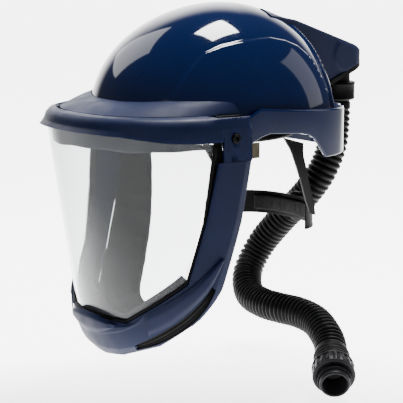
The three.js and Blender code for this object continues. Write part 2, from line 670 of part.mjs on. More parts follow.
const TAB_CENTRE = vec(87, 21, HEADBAND_BOTTOM - GAP - 8);
SIDES.forEach(([name, side]) => {
  const tab = box(vec(side * TAB_CENTRE.x, TAB_CENTRE.y, TAB_CENTRE.z), vec(1.8, 9, 16));
  part(`webbing_tab_${name}`, 'padding', tab);
});

const CRADLE = { half: 66, front: 50, rear: 50, frontPower: 2.4, rearPower: 2.4, centreY: 92 };

function cradleSheet(outGrow, inGrow, reach, top, bottom) {
  return thickSheet(
    (u, z) => ovalPoint(CRADLE, 180 + u, outGrow, z),
    (u, z) => ovalPoint(CRADLE, 180 + u, inGrow, z),
    spread(-reach, reach, 16), [top, bottom],
  );
}
part('nape_cradle', 'black', cradleSheet(0, -2.5, 76, -96, -122));
part('nape_pad', 'padding', cradleSheet(-2.5 - GAP, -8, 60, -98, -120));

const KNOB = vec(0, CRADLE.centreY + CRADLE.rear, -109);
const BACKWARD = vec(0, 1, 0);
const housing = turned([[0, 0.6], [17, 0.6], [17, 5], [3, 5], [3, 3], [0, 3]], 18);
const knob = turned([[0, 3.4], [2.6, 3.4], [2.6, 5.4], [16, 5.4], [16, 12.5], [14.5, 14], [0, 14]], 18);
part('ratchet_housing', 'black', placed(housing, KNOB, BACKWARD));
part('ratchet_knob', 'black', placed(knob, KNOB, BACKWARD));

// ---------------------------------------------------------------- air channel inside the shell

const CHANNEL_HALF = 24;
const CHANNEL_DEPTH = 8;

function airChannel() {
  const wall = 1.6;
  const brim = -SHELL_THICK - 4.2;
  const corners = [[-1, brim], [-1, brim - CHANNEL_DEPTH], [1, brim - CHANNEL_DEPTH], [1, brim]];
  const surface = (inset) => (u, v) => {
    const [side, grow] = corners[u];
    const raised = grow < brim ? inset : 0;
    const point = domePoint(v < 90 ? 0 : 180, Math.min(v, 180 - v), grow + raised);
    point.x = side * (CHANNEL_HALF - inset);
    return point;
  };
  return thickSheet(surface(0), surface(wall), [0, 1, 2, 3], spread(16, 136, 12));
}
part('air_channel', 'grey', airChannel());

// ---------------------------------------------------------------- breathing hose and coupling

const HOSE_ROUTE = [[0, 200, 6.5], [0, 200, -14], [-1, 197, -44], [-8, 187, -76], [-28, 177, -106],
  [-56, 168, -135], [-80, 156, -168], [-83, 139, -200], [-60, 124, -219], [-26, 117, -223],
  [8, 115, -222], [42, 117, -221], [74, 115, -224], [104, 105, -231.5], [119.4, 97.7, -237.7]];

function breathingHose() {
  const points = HOSE_ROUTE.map(([x, y, z]) => vec(x, y, z));
  points.push(COUPLING_START.clone().addScaledVector(COUPLING_AXIS, -GAP));
  const route = new THREE.CatmullRomCurve3(points, false, 'centripetal');
  const section = new THREE.Shape();
  section.absarc(0, 0, HOSE_RADIUS, 0, 2 * Math.PI, false);
  return new THREE.ExtrudeGeometry(section, { steps: HOSE_STEPS, extrudePath: route, curveSegments: 4 });
}
part('breathing_hose', 'rubber', breathingHose());

const onCoupling = (geometry) => placed(geometry, COUPLING_START, COUPLING_AXIS);
part('hose_cuff', 'rubber', onCoupling(rod(19.5, GAP, 18, 20)));
part('coupling_spigot', 'ring', onCoupling(turned([[0, 18 + GAP], [16, 18 + GAP], [16, 50], [13, 50],
  [13, 22], [0, 22]], 24)));
part('coupling_ring', 'ring', onCoupling(ring(16 + GAP, 22.5, 19, 36, 24)));
part('coupling_o_ring', 'rubber', onCoupling(ring(16 + GAP, 18, 41, 43.5, 24)));

export default model;
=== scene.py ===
import math

import bmesh
import bpy
import numpy as np
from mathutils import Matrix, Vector


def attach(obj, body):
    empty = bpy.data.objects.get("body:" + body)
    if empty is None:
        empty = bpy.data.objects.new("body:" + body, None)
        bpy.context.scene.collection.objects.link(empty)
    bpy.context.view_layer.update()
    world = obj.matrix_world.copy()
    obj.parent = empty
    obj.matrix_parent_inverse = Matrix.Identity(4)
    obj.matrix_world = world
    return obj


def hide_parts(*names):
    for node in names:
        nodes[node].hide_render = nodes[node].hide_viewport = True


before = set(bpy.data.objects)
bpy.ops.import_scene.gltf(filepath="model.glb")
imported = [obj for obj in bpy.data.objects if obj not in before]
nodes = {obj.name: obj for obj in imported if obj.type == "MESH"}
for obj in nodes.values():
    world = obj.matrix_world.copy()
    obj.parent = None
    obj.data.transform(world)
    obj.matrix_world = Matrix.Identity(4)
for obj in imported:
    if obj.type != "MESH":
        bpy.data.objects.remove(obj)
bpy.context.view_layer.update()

SIDES = (("left", 1), ("right", -1))

# ------------------------------------------------------------------ camera

CAMERA_AT = (1.3095, -0.9036, 0.1911)
LOOK_AT = (0.0188, 0.0003, -0.0867)
CAMERA_LENS = 133.6


def add_camera():
    data = bpy.data.cameras.new("camera")
    data.lens = CAMERA_LENS
    camera = bpy.data.objects.new("camera", data)
    camera.location = CAMERA_AT
    toward = Vector(LOOK_AT) - Vector(CAMERA_AT)
    camera.rotation_euler = toward.to_track_quat("-Z", "Y").to_euler()
    bpy.context.collection.objects.link(camera)
    bpy.context.scene.camera = camera


add_camera()

# ------------------------------------------------------------------ mesh helpers


def lerp(a, b, t):
    return a + (b - a) * t


def smooth(x, low, high):
    t = np.clip((np.asarray(x, float) - low) / (high - low), 0, 1)
    return t * t * (3 - 2 * t)


def along(stations, x):
    """Value at x on a broken line through (x, value) stations in rising order of x."""
    return np.interp(x, [s[0] for s in stations], [s[1] for s in stations])


def spline(points, t):
    """Catmull-Rom curve through points, at values of t from 0 to 1."""
    p = np.asarray(points, float)
    p = np.vstack([2 * p[0] - p[1], p, 2 * p[-1] - p[-2]])
    spans = len(p) - 3
    t = np.clip(np.asarray(t, float), 0, 1) * spans
    i = np.minimum(t.astype(int), spans - 1)
    f = (t - i)[..., None]
    a, b, c, d = p[i], p[i + 1], p[i + 2], p[i + 3]
    square = (2 * a - 5 * b + 4 * c - d) * f ** 2
    cube = (3 * b - a - 3 * c + d) * f ** 3
    return 0.5 * (2 * b + (c - a) * f + square + cube)


def mesh_object(name, points, faces):
    mesh = bpy.data.meshes.new(name)
    mesh.from_pydata((np.asarray(points, float).reshape(-1, 3) * 0.001).tolist(), [], faces)
    tidy = bmesh.new()
    tidy.from_mesh(mesh)
    bmesh.ops.remove_doubles(tidy, verts=tidy.verts, dist=1e-6)
    bmesh.ops.recalc_face_normals(tidy, faces=tidy.faces)
    tidy.to_mesh(mesh)
    tidy.free()
    mesh.shade_smooth()
    obj = bpy.data.objects.new(name, mesh)
    bpy.context.collection.objects.link(obj)
    return obj


def grid_faces(columns, rows, start, wraps):
    """Quads of a grid stored column by column."""
    faces = []
    for i in range(columns if wraps else columns - 1):
        j = (i + 1) % columns
        for k in range(rows - 1):
            faces.append((start + i * rows + k, start + j * rows + k,
                          start + j * rows + k + 1, start + i * rows + k + 1))
    return faces


def sheet(name, outer, inner, us, vs, wraps=False):
    """Closed solid between two surfaces, each a function of whole grids of u and v."""
    u, v = np.meshgrid(np.asarray(us, float), np.asarray(vs, float), indexing="ij")
    top, under = outer(u, v), inner(u, v)
    columns, rows = u.shape
    count = columns * rows
    faces = grid_faces(columns, rows, 0, wraps) + grid_faces(columns, rows, count, wraps)
    for i in range(columns if wraps else columns - 1):
        j = (i + 1) % columns
        for k in (0, rows - 1):
            faces.append((i * rows + k, j * rows + k, count + j * rows + k, count + i * rows + k))
    if not wraps:
        for i in (0, columns - 1):
            for k in range(rows - 1):
                a = i * rows + k
                faces.append((a, a + 1, count + a + 1, count + a))
    return mesh_object(name, np.vstack([top.reshape(-1, 3), under.reshape(-1, 3)]), faces)


def loft(name, sections):
    """Closed solid through a row of closed sections with the same number of points."""
    sections = np.asarray(sections, float)
    count, size = sections.shape[:2]
    faces = []
    for i in range(count - 1):
        for k in range(size):
            n = (k + 1) % size
            faces.append((i * size + k, i * size + n, (i + 1) * size + n, (i + 1) * size + k))
    faces.append(tuple(range(size)))
    faces.append(tuple(range((count - 1) * size, count * size)))
    return mesh_object(name, sections, faces)


def turned(name, profile, origin, axis, segments=96, ripple=None):
    """Solid of revolution about an axis, from (radius, height) points that close on themselves."""
    axis = Vector(axis).normalized()
    turn = Vector((0, 0, 1)).rotation_difference(axis).to_matrix()
    profile = np.asarray(profile, float)
    angles = np.linspace(0, 2 * math.pi, segments, endpoint=False)
    points = []
    for angle in angles:
        for radius, height in profile:
            r = radius + (ripple(angle, radius, height) if ripple else 0)
            points.append(turn @ Vector((r * math.cos(angle), r * math.sin(angle), height)) + Vector(origin))
    size = len(profile)
    faces = []
    for i in range(segments):
        j = (i + 1) % segments
        for k in range(size):
            n = (k + 1) % size
            faces.append((i * size + k, j * size + k, j * size + n, i * size + n))
    return mesh_object(name, points, faces)


def soften(obj, width=0.6, segments=2, angle=32):
    """Rounded edges, and normals that keep the flat faces flat."""
    bevel = obj.modifiers.new("bevel", "BEVEL")
    bevel.width = width * 0.001
    bevel.segments = segments
    bevel.limit_method = "ANGLE"
    bevel.angle_limit = math.radians(angle)
    bevel.harden_normals = False
    weighted = obj.modifiers.new("normals", "WEIGHTED_NORMAL")
    weighted.keep_sharp = True
    return obj


def cut_out(obj, *cutters):
    """Cuts the shapes of other objects out of one, for good."""
    for cutter in cutters:
        hole = obj.modifiers.new("hole", "BOOLEAN")
        hole.operation = "DIFFERENCE"
        hole.solver = "EXACT"
        hole.object = cutter
    graph = bpy.context.evaluated_depsgraph_get()
    mesh = bpy.data.meshes.new_from_object(obj.evaluated_get(graph))
    obj.modifiers.clear()
    obj.data = mesh
    for cutter in cutters:
        bpy.data.objects.remove(cutter)
    return obj


def joined(name, *parts):
    """One mesh object from several."""
    whole = bmesh.new()
    for part in parts:
        whole.from_mesh(part.data)
        bpy.data.objects.remove(part)
    mesh = bpy.data.meshes.new(name)
    whole.to_mesh(mesh)
    whole.free()
    mesh.shade_smooth()
    obj = bpy.data.objects.new(name, mesh)
    bpy.context.collection.objects.link(obj)
    return obj


# ------------------------------------------------------------------ shared surfaces, in millimetres

DOME = dict(half=112, front=127, rear=136, front_power=2.2, rear_power=2.7, centre_y=20)
DOME_HEIGHT = 124
DOME_LEAN = 16
SHELL_THICK = 3
SKIRT = dict(half=119, front=170, rear=150, front_power=2.8, rear_power=2.8, centre_y=15)
SKIRT_FRONT_Y = -17
SKIRT_TOP = [(-17, 14.7), (-10, 14.7), (4, 21.8), (60, 17.2), (130, 13.4), (170, 13.4)]
SKIRT_BOTTOM = [(-17, -18), (-4, -11), (6, -6.8), (16, -4.4), (56, -7.2), (68, -9.6), (77, -14),
                (97, -35.7), (170, -36.5)]
GUTTER_Z = 8
BAND = dict(half=122, front=141, rear=141, front_power=2.4, rear_power=2.4, centre_y=-14)
BROW = dict(half=109, front=129, rear=129, front_power=2.2, rear_power=2.2, centre_y=-14)
HEADBAND = dict(half=86, front=101, rear=101, front_power=2.2, rear_power=2.2, centre_y=14)
CRADLE = dict(half=66, front=50, rear=50, front_power=2.4, rear_power=2.4, centre_y=92)


def oval_point(oval, degrees, grow, z, scale=1.0):
    """Point on an oval, by angle in degrees from straight ahead, positive towards +X."""
    degrees = np.asarray(degrees, float)
    sine, cosine = np.sin(np.radians(degrees)), np.cos(np.radians(degrees))
    reach = np.where(cosine > 0, oval["front"], oval["rear"]) + grow
    power = np.where(cosine > 0, oval["front_power"], oval["rear_power"])
    total = np.abs(sine / (oval["half"] + grow)) ** power + np.abs(cosine / reach) ** power
    radius = scale * total ** (-1 / power)
    return np.stack(np.broadcast_arrays(radius * sine, oval["centre_y"] - radius * cosine, z), -1)


def dome_point(degrees, rise, grow):
    """Point on the dome at a rise in degrees, from 0 at the rim to 90 at the crown."""
    rise = np.radians(np.asarray(rise, float))
    z = (DOME_HEIGHT + grow) * np.sin(rise)
    point = oval_point(DOME, degrees, grow, z, np.cos(rise))
    point[..., 1] += DOME_LEAN * np.sin(rise) ** 4
    return point


def rise_at(z):
    return np.degrees(np.arcsin(z / DOME_HEIGHT))


def face_point(degrees, z, grow):
    """Point on the surface that the pane and its frame lie on."""
    z = np.asarray(z, float)
    narrow = (1 - (np.maximum(0, -150 - z) / 98) ** 2.2) ** (1 / 2.2)
    power = lerp(2.2, 2.4, np.clip((z + 150) / 145, 0, 1))
    chin = np.clip(np.maximum(0, -195 - z) / 52.5, 0, 1)
    front_y = -154 + 0.145 * (-5 - np.maximum(z, -195)) + 34 * (1 - np.sqrt(1 - chin ** 2))
    depth = 140 * narrow
    oval = dict(half=121 * narrow, front=depth, rear=depth, front_power=power, rear_power=power,
                centre_y=front_y + depth)
    return oval_point(oval, degrees, grow, z)


def face_patch(name, upper, lower, side, outer, inner, columns, rows):
    """Patch of the face between two smooth lines of (degrees, z), with offsets by (u, v)."""
    def surface(grow):
        def at(u, v):
            line = lerp(spline(upper, u), spline(lower, u), v[..., None])
            return face_point(side * line[..., 0], line[..., 1], grow(u, v) if callable(grow) else grow)
        return at
    return sheet(name, surface(outer), surface(inner), np.linspace(0, 1, columns), np.linspace(0, 1, rows))


def ribbon(name, near, far, outer, inner, columns, stations):
    """Strip of the face that runs round the pane, between two lines of (degrees, z) given for the
    wearer's left half from its top to the chin, and mirrored."""
    near, far = np.asarray(near, float), np.asarray(far, float)
    knots = np.linspace(0, 1, len(near))

    def line(points, t):
        return np.stack([np.interp(t, knots, points[:, 0]), np.interp(t, knots, points[:, 1])], -1)

    def surface(grow):
        def at(u, v):
            t = 1 - np.abs(u)
            place = lerp(line(near, t), line(far, t), v[..., None])
            return face_point(np.sign(u) * place[..., 0], place[..., 1], grow(v) if callable(grow) else grow)
        return at
    half = []
    for i, count in enumerate(columns):
        half += list(np.linspace(knots[i], knots[i + 1], count, endpoint=False))
    us = [-(1 - t) for t in half] + [0.0] + [1 - t for t in reversed(half)]
    return sheet(name, surface(outer), surface(inner), us, stations)


# ------------------------------------------------------------------ breathing hose and its end

HOSE_RADIUS = 17.5
COUPLING_AXIS = np.array([0.77, -0.54, -0.34]) / np.linalg.norm([0.77, -0.54, -0.34])
COUPLING_START = np.array([136.0, 86.0, -245.0])
HOSE_ROUTE = [[0, 200, 6.5], [0, 200, -14], [-1, 197, -44], [-8, 187, -76], [-28, 177, -106],
              [-56, 168, -135], [-80, 156, -168], [-83, 139, -200], [-60, 124, -219], [-26, 117, -223],
              [8, 115, -222], [42, 117, -221], [74, 115, -224], [104, 105, -231.5], [119.4, 97.7, -237.7],
              list(COUPLING_START)]


def hose_centreline():
    """Points along the hose, evenly spaced 1 mm apart, and its length in millimetres."""
    dense = spline(HOSE_ROUTE, np.linspace(0, 1, 3000))
    run = np.concatenate([[0], np.cumsum(np.linalg.norm(np.diff(dense, axis=0), axis=1))])
    even = np.linspace(0, run[-1], int(run[-1]))
    return np.stack([np.interp(even, run, dense[:, i]) for i in range(3)], -1), run[-1]


def tube(name, line, radius_at, segments=40):
    """Tube round a centreline, without twist, whose radius depends on the distance along it."""
    tangents = np.gradient(line, axis=0)
    tangents /= np.linalg.norm(tangents, axis=1, keepdims=True)
    side = np.cross(tangents[0], [0.0, 1.0, 0.0])
    side /= np.linalg.norm(side)
    run = np.concatenate([[0], np.cumsum(np.linalg.norm(np.diff(line, axis=0), axis=1))])
    angles = np.linspace(0, 2 * math.pi, segments, endpoint=False)
    sections = []
    for i, tangent in enumerate(tangents):
        side = side - tangent * np.dot(side, tangent)
        side /= np.linalg.norm(side)
        other = np.cross(tangent, side)
        radius = radius_at(run[i], run[-1])
        sections.append([line[i] + radius * (math.cos(a) * side + math.sin(a) * other) for a in angles])
    return loft(name, sections)


RIB_PITCH = 6.4


def hose_radius(at, whole):
    """Rounded ribs between narrow grooves, and a plain cuff at each end."""
    plain = 1 - float(smooth(min(at, whole - at), 6, 9))
    wave = abs(math.cos(math.pi * at / RIB_PITCH))
    return HOSE_RADIUS - 3.1 * (1 - plain) * (1 - wave ** 0.6)


def make_hose():
    line, length = hose_centreline()
    hose = tube("breathing_hose_tube", line, hose_radius, 48)
    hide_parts("breathing_hose")
    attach(hose, "helmet")
    return hose, line, length


hose, hose_line, hose_length = make_hose()


def on_coupling(name, profile, segments=120, ripple=None):
    return turned(name, profile, COUPLING_START, COUPLING_AXIS, segments, ripple)


def make_coupling():
    cuff_profile = [(0, 0.4), (18.6, 0.4), (19.4, 1.2)]
    for height in np.arange(2.0, 16.5, 0.6):
        cuff_profile.append((18.6 + 0.8 * abs(math.sin(math.pi * height / 4.8)), height))
    cuff_profile += [(19.2, 17.4), (18.4, 18), (0, 18)]
    cuff = on_coupling("hose_cuff_ribbed", cuff_profile)

    def grips(angle, radius, height):
        return -0.9 * (0.5 - 0.5 * math.cos(angle * 18)) if radius > 21.5 and 21.5 < height < 34 else 0
    ring = on_coupling("coupling_ring_ribbed", [
        (16.4, 19), (21.2, 19), (22.4, 19.6), (22.5, 21), (21.9, 21.6), (22.2, 22.2), (22.2, 33),
        (21.9, 33.6), (22.5, 34.2), (22.3, 35.4), (21.4, 36), (16.4, 36)], 216, grips)
    spigot = on_coupling("coupling_spigot_turned", [
        (0, 18.4), (16, 18.4), (16, 40.4), (15.2, 40.6), (15.2, 43.9), (16, 44.1), (16, 48.6), (15.4, 49.7),
        (14.6, 50), (13.6, 49.8), (13, 49), (13, 22.5), (12.4, 22), (0, 22)])
    ring_seal = on_coupling("coupling_o_ring_round", [
        (16.75 + 1.2 * math.cos(a), 42.25 + 1.2 * math.sin(a))
        for a in np.linspace(0, 2 * math.pi, 12, endpoint=False)])
    for piece, node in ((cuff, "hose_cuff"), (ring, "coupling_ring"), (spigot, "coupling_spigot"),
                        (ring_seal, "coupling_o_ring")):
        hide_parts(node)
        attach(piece, "coupling_nut" if node == "coupling_ring" else "helmet")
    return cuff, ring, spigot, ring_seal


cuff, coupling_ring, coupling_spigot, o_ring = make_coupling()

# ------------------------------------------------------------------ helmet shell

# The raised panel on each side of the dome: its edge as rise by angle round the dome.
PANEL_EDGE = [(33, -3), (37.8, 14.5), (41.5, 22.8), (46.5, 31.2), (52.2, 38.2), (62.8, 42.2), (76.5, 44.5),
              (93.5, 45.8), (105.5, 46.2), (117.8, 43.8), (126, 40), (131, 34), (134, 20), (135.5, -3)]
PANEL_RAISED = 1.3
# The ridge from the rim up to the duct, as angle by rise.
RIDGE_LINE = [(0, 138.5), (16, 139), (25, 139.5), (35, 142.5), (41.5, 146), (55, 153), (70, 160)]
MM_PER_DEGREE = 2.1


def shell_detail(degrees, rise):
    """Height of the panel and the ridge over the plain dome."""
    turn = np.abs((np.asarray(degrees, float) + 180) % 360 - 180)
    inside = (along(PANEL_EDGE, turn) - rise) * MM_PER_DEGREE
    panel = PANEL_RAISED * smooth(inside, -1.5, 2.5)
    from_ridge = (turn - along(RIDGE_LINE, rise)) * MM_PER_DEGREE * np.cos(np.radians(rise))
    fade = smooth(rise, 66, 56)
    ridge = 2.6 * np.exp(-(from_ridge / 3.2) ** 2) - 0.8 * np.exp(-((from_ridge + 4.6) / 1.5) ** 2)
    return panel + fade * ridge


def make_shell():
    def outer(u, v):
        return dome_point(u, v, shell_detail(u, v))
    rises = np.concatenate([np.linspace(90, 60, 40), np.linspace(59.5, 2, 110), [1.2, 0.6, 0]])
    dome = sheet("dome", outer, lambda u, v: dome_point(u, v, -SHELL_THICK),
                 np.linspace(0, 360, 480, endpoint=False), rises, True)
    inlet = turned("inlet_cutter", [(0, 60), (20, 60), (20, 120), (0, 120)], (0, 110, 0), (0, 0, 1), 64)
    cut_out(dome, inlet)
    sections = []
    for u in np.linspace(-104, 104, 240):
        point = oval_point(SKIRT, 180 + u, 0, 0)
        if point[1] < SKIRT_FRONT_Y:
            continue
        top, low = along(SKIRT_TOP, point[1]), along(SKIRT_BOTTOM, point[1])
        rim = [(0.0, top - 2.2), (-0.4, top - 0.8), (-1.2, top), (-2.2, top), (-2.8, top - 0.8),
               (-3.0, GUTTER_Z + SHELL_THICK + 0.8), (-4.0, GUTTER_Z + SHELL_THICK)]
        section = [oval_point(SKIRT, 180 + u, grow, z) for grow, z in rim]
        wall = min(u, 98) if u > 0 else max(u, -98)
        section.append(oval_point(DOME, 180 + wall, -1.2, GUTTER_Z + SHELL_THICK))
        section.append(oval_point(DOME, 180 + wall, -1.2, GUTTER_Z))
        under = [(-4.0, GUTTER_Z), (-3.0, GUTTER_Z - 0.8), (-3.0, low + 0.8), (-2.4, low), (-0.8, low),
                 (0.0, low + 1.2)]
        section += [oval_point(SKIRT, 180 + u, grow, z) for grow, z in under]
        sections.append(section)
    skirt = loft("skirt", sections)
    shell = joined("helmet_shell_fine", dome, skirt)
    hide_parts("helmet_shell")
    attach(shell, "helmet")
    return soften(shell, 0.5, 2, 40)


shell = make_shell()

# ------------------------------------------------------------------ rear duct

DUCT_FRONT_Y = 70
DUCT_REAR_Y = 200
DUCT_FRONT_HALF = 48
DUCT_REAR_RADIUS = 26
DUCT_TOP = [(70, 117), (230, 66)]
DUCT_FLOOR = [(140, 26), (230, 57.5)]
DUCT_WALL = 2.5


def duct_plan(grow, t):
    """Point of the duct's outline in plan, from the front left corner round the rear to the front right."""
    lean = math.atan2(DUCT_FRONT_HALF - DUCT_REAR_RADIUS, DUCT_REAR_Y - DUCT_FRONT_Y)
    radius = DUCT_REAR_RADIUS + grow
    start = np.array([DUCT_FRONT_HALF + grow, DUCT_FRONT_Y])
    if t < 0.35 or t > 0.65:
        along_side = t / 0.35 if t < 0.5 else (1 - t) / 0.35
        tangent = np.array([radius * math.cos(lean), DUCT_REAR_Y + radius * math.sin(lean)])
        x, y = lerp(start, tangent, along_side)
        return (x if t < 0.5 else -x), y
    angle = lerp(lean, math.pi - lean, (t - 0.35) / 0.3)
    return radius * math.cos(angle), DUCT_REAR_Y + radius * math.sin(angle)


def dome_height(x, y, grow):
    """Height of the dome over points in plan, found by halving."""
    low = np.zeros_like(x)
    high = np.full_like(x, DOME_HEIGHT + grow)
    for _ in range(24):
        z = (low + high) / 2
        rise = np.degrees(np.arcsin(z / (DOME_HEIGHT + grow)))
        middle = DOME["centre_y"] + DOME_LEAN * np.sin(np.radians(rise)) ** 4
        wall = dome_point(np.degrees(np.arctan2(x, middle - y)), rise, grow)
        inside = np.hypot(x, y - middle) < np.hypot(wall[..., 0], wall[..., 1] - middle)
        low = np.where(inside, z, low)
        high = np.where(inside, high, z)
    return low


# Middle of the boss on the duct's sides (y, z), its height over its width, and the radii it fades between.
BOSS_MIDDLE = (196, 62)
BOSS_SQUASH = 0.8
BOSS_FADE = (26, 22)
BOSS_RISE = 1.3
# The duct's front lies this far above the dome and blends into the full roof between two values of y.
NOSE_RISE = 1.4
NOSE_BLEND = (72, 112)


def make_duct_cover():
    """Walls that follow the plan, rounded over into a sloping roof, with a low boss on each side."""
    columns = np.concatenate([np.linspace(0, 0.35, 60), np.linspace(0.355, 0.645, 50),
                              np.linspace(0.65, 1, 60)])
    round_over = [(0.0, 3.0), (0.3, 1.8), (1.0, 0.7), (2.2, 0.1), (3.4, 0.0)]

    def section(t, grow, lift):
        rows = []
        x, y = duct_plan(grow, t)
        top, floor = along(DUCT_TOP, y) - lift, along(DUCT_FLOOR, y)
        for v in np.linspace(0, 1, 16):
            z = lerp(floor, top - 3.0, v)
            boss = 0.0
            if not lift:
                across = math.hypot(y - BOSS_MIDDLE[0], (z - BOSS_MIDDLE[1]) / BOSS_SQUASH)
                boss = BOSS_RISE * float(smooth(across, *BOSS_FADE)) * (1 if abs(x) > 8 else 0)
            bx, by = duct_plan(grow + boss, t)
            rows.append((bx, by, z))
        for inward, drop in round_over:
            rx, ry = duct_plan(grow - inward, t)
            rows.append((rx, ry, along(DUCT_TOP, ry) - lift - drop))
        for v in (0.3, 0.6, 1.0):
            rx, ry = duct_plan(grow - 3.4, t)
            roof_y = lerp(ry, min(ry, DUCT_REAR_Y), v)
            rows.append((lerp(rx, 0, v), roof_y, along(DUCT_TOP, roof_y) - lift))
        return rows
    outer = np.array([section(t, 0.0, 0.0) for t in columns])
    inner = np.array([section(t, -DUCT_WALL, DUCT_WALL) for t in columns])
    for grid, depth in ((outer, 0), (inner, 0.8)):
        x, y, z = grid[..., 0], grid[..., 1], grid[..., 2]
        nose = dome_height(x, y, 0) + NOSE_RISE - depth
        z = np.where(z > nose, lerp(nose, z, smooth(y, *NOSE_BLEND)), z)
        grid[..., 2] = np.maximum(z, dome_height(x, y, -1.2))
    rows = outer.shape[1]
    count = len(columns) * rows
    faces = grid_faces(len(columns), rows, 0, False) + grid_faces(len(columns), rows, count, False)
    for i in range(len(columns) - 1):
        faces.append((i * rows, (i + 1) * rows, count + (i + 1) * rows, count + i * rows))
    for i in (0, len(columns) - 1):
        for k in range(rows - 1):
            a = i * rows + k
            faces.append((a, a + 1, count + a + 1, count + a))
    cover = mesh_object("duct_cover_fine", np.vstack([outer.reshape(-1, 3), inner.reshape(-1, 3)]), faces)
    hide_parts("duct_cover")
    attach(cover, "helmet")
    return cover


duct_cover = make_duct_cover()


def make_collar():
    def dimples(angle, radius, height):
        return -0.5 * (0.5 - 0.5 * math.cos(angle * 24)) if radius > 21 and 13 < height < 26 else 0
    collar = turned("hose_collar_ribbed", [
        (16.85, 9.6), (20.6, 9.6), (21.8, 10.4), (22.4, 11.6), (22.0, 12.4), (22.0, 26.6), (22.5, 27.4),
        (22.5, 29.2), (21.8, 30), (16.85, 30)], (0, DUCT_REAR_Y, 0), (0, 0, 1), 144, dimples)
    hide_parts("hose_collar")
    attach(collar, "collar")
    return collar


collar = make_collar()

# ------------------------------------------------------------------ brow cover

BROW_REAR_ANGLE = 76
BROW_SEAM_Z = 17.5


def make_brow_cover():
    def upper(u):
        z = lerp(27.5, 31, smooth(np.abs(u), 0.1, 0.6)) - 12 * smooth(np.abs(u), 0.9, 1)
        return dome_point(u * BROW_REAR_ANGLE, rise_at(z), 0.6)

    def outer(u, v):
        top = upper(u)
        seam = oval_point(BROW, u * 93, 0, BROW_SEAM_Z)
        face = lerp(top, seam, np.clip(v, 0, 1)[..., None])
        face[..., 2] += 1.6 * np.sin(math.pi * np.clip(v, 0, 1)) * smooth(np.abs(u), 1, 0.8)
        lip = oval_point(BROW, u * 93, 0, lerp(BROW_SEAM_Z, 8, np.clip(v - 1, 0, 1)))
        return np.where((v > 1)[..., None], lip, face)

    def inner(u, v):
        face = outer(u, np.minimum(v, 1)) - np.array([0, 0, 2.5])
        lip = oval_point(BROW, u * 93, -2.5, lerp(BROW_SEAM_Z - 2.5, 8, np.clip(v - 1, 0, 1)))
        drawn = lerp(outer(u, np.minimum(v, 1)), oval_point(BROW, u * 93, -2.5, BROW_SEAM_Z), 0.02)
        face = np.where((v > 0.9)[..., None], lip, drawn - np.array([0, 0, 2.5]))
        return np.where((v > 1)[..., None], lip, face)
    rows = [0, 0.15, 0.35, 0.55, 0.75, 0.9, 1.0, 1.5, 2.0]
    cover = sheet("brow_cover_fine", outer, inner, np.linspace(-1, 1, 181), rows)
    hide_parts("brow_cover")
    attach(cover, "helmet")
    return soften(cover, 0.7, 3, 24)


brow_cover = make_brow_cover()


def make_brow_strips():
    """Ribbed strips between the brow cover's rear ends and the band's wings."""
    strips = []
    for name, side in SIDES:
        def outer(u, v, side=side):
            rib = 0.35 * np.cos(u * 5.2)
            return oval_point(BAND, side * u, -6.2 + rib, v)
        strip = sheet(f"brow_strip_{name}_ribbed", outer,
                      lambda u, v, side=side: oval_point(BROW, side * u, 0.9, v),
                      np.linspace(74, 87, 60), [BROW_SEAM_Z - 0.5, BROW_SEAM_Z - 2, BROW_SEAM_Z - 4])
        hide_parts(f"brow_strip_{name}")
        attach(strip, "helmet")
        strips.append(strip)
    return strips


brow_strips = make_brow_strips()

# ------------------------------------------------------------------ visor band

PIVOT_Y = -31
PIVOT_Z = -5
WING_FRONT = 75.6
WING_REAR = 91
BAND_OUTER = [(-10, 17.6), (-4, 16), (0, 11.5), (1.8, 6), (2.2, 5), (6.5, 0.6)]
BAND_INNER = [(-10, 15), (-5.5, 13.5), (-3.5, 10), (-3.5, 6.5), (0.6, 5.4), (0.6, 0.6)]
WING_OUTER = [(-1.6, 16), (-0.8, 15.5), (0, 11.5), (1, 6), (1.4, 5), (3, -28)]
WING_INNER = [(-2.4, 16), (-2.4, 14.5), (-2.4, 10), (-2.4, 6.5), (-2.4, 5.4), (-1, -28)]
BAND_LOW = [(20, 0.6), (32, -0.6), (50, -6.5), (60, -8)]
BAND_FLARE = [(24, 6.5), (56, 3)]


def band_surface(band, wing):
    def at(u, v):
        turn = np.abs(u)
        blend = smooth(turn, WING_FRONT - 8, WING_FRONT - 0.5)
        row = np.arange(len(band))
        grow = lerp(np.interp(v, row, [s[0] for s in band]), np.interp(v, row, [s[0] for s in wing]), blend)
        z = lerp(np.interp(v, row, [s[1] for s in band]), np.interp(v, row, [s[1] for s in wing]), blend)
        low_grow = along(BAND_FLARE, turn) if band is BAND_OUTER else grow
        low_z = np.where(turn > WING_FRONT, wing[-1][1], along(BAND_LOW, turn))
        fall = np.clip(v - (len(band) - 2), 0, 1)
        base_grow = lerp(band[-2][0], wing[-2][0], blend)
        base_z = lerp(band[-2][1], wing[-2][1], blend)
        last = v > len(band) - 2
        grow = np.where(last, lerp(base_grow, low_grow, fall), grow)
        z = np.where(last, lerp(base_z, low_z, fall), z)
        return oval_point(BAND, u, grow, z)
    return at


def pivot_hole(name, side, radius, start):
    return turned(name, [(0, start), (radius, start), (radius, 140), (0, 140)],
                  (0, PIVOT_Y, PIVOT_Z), (side, 0, 0), 48)


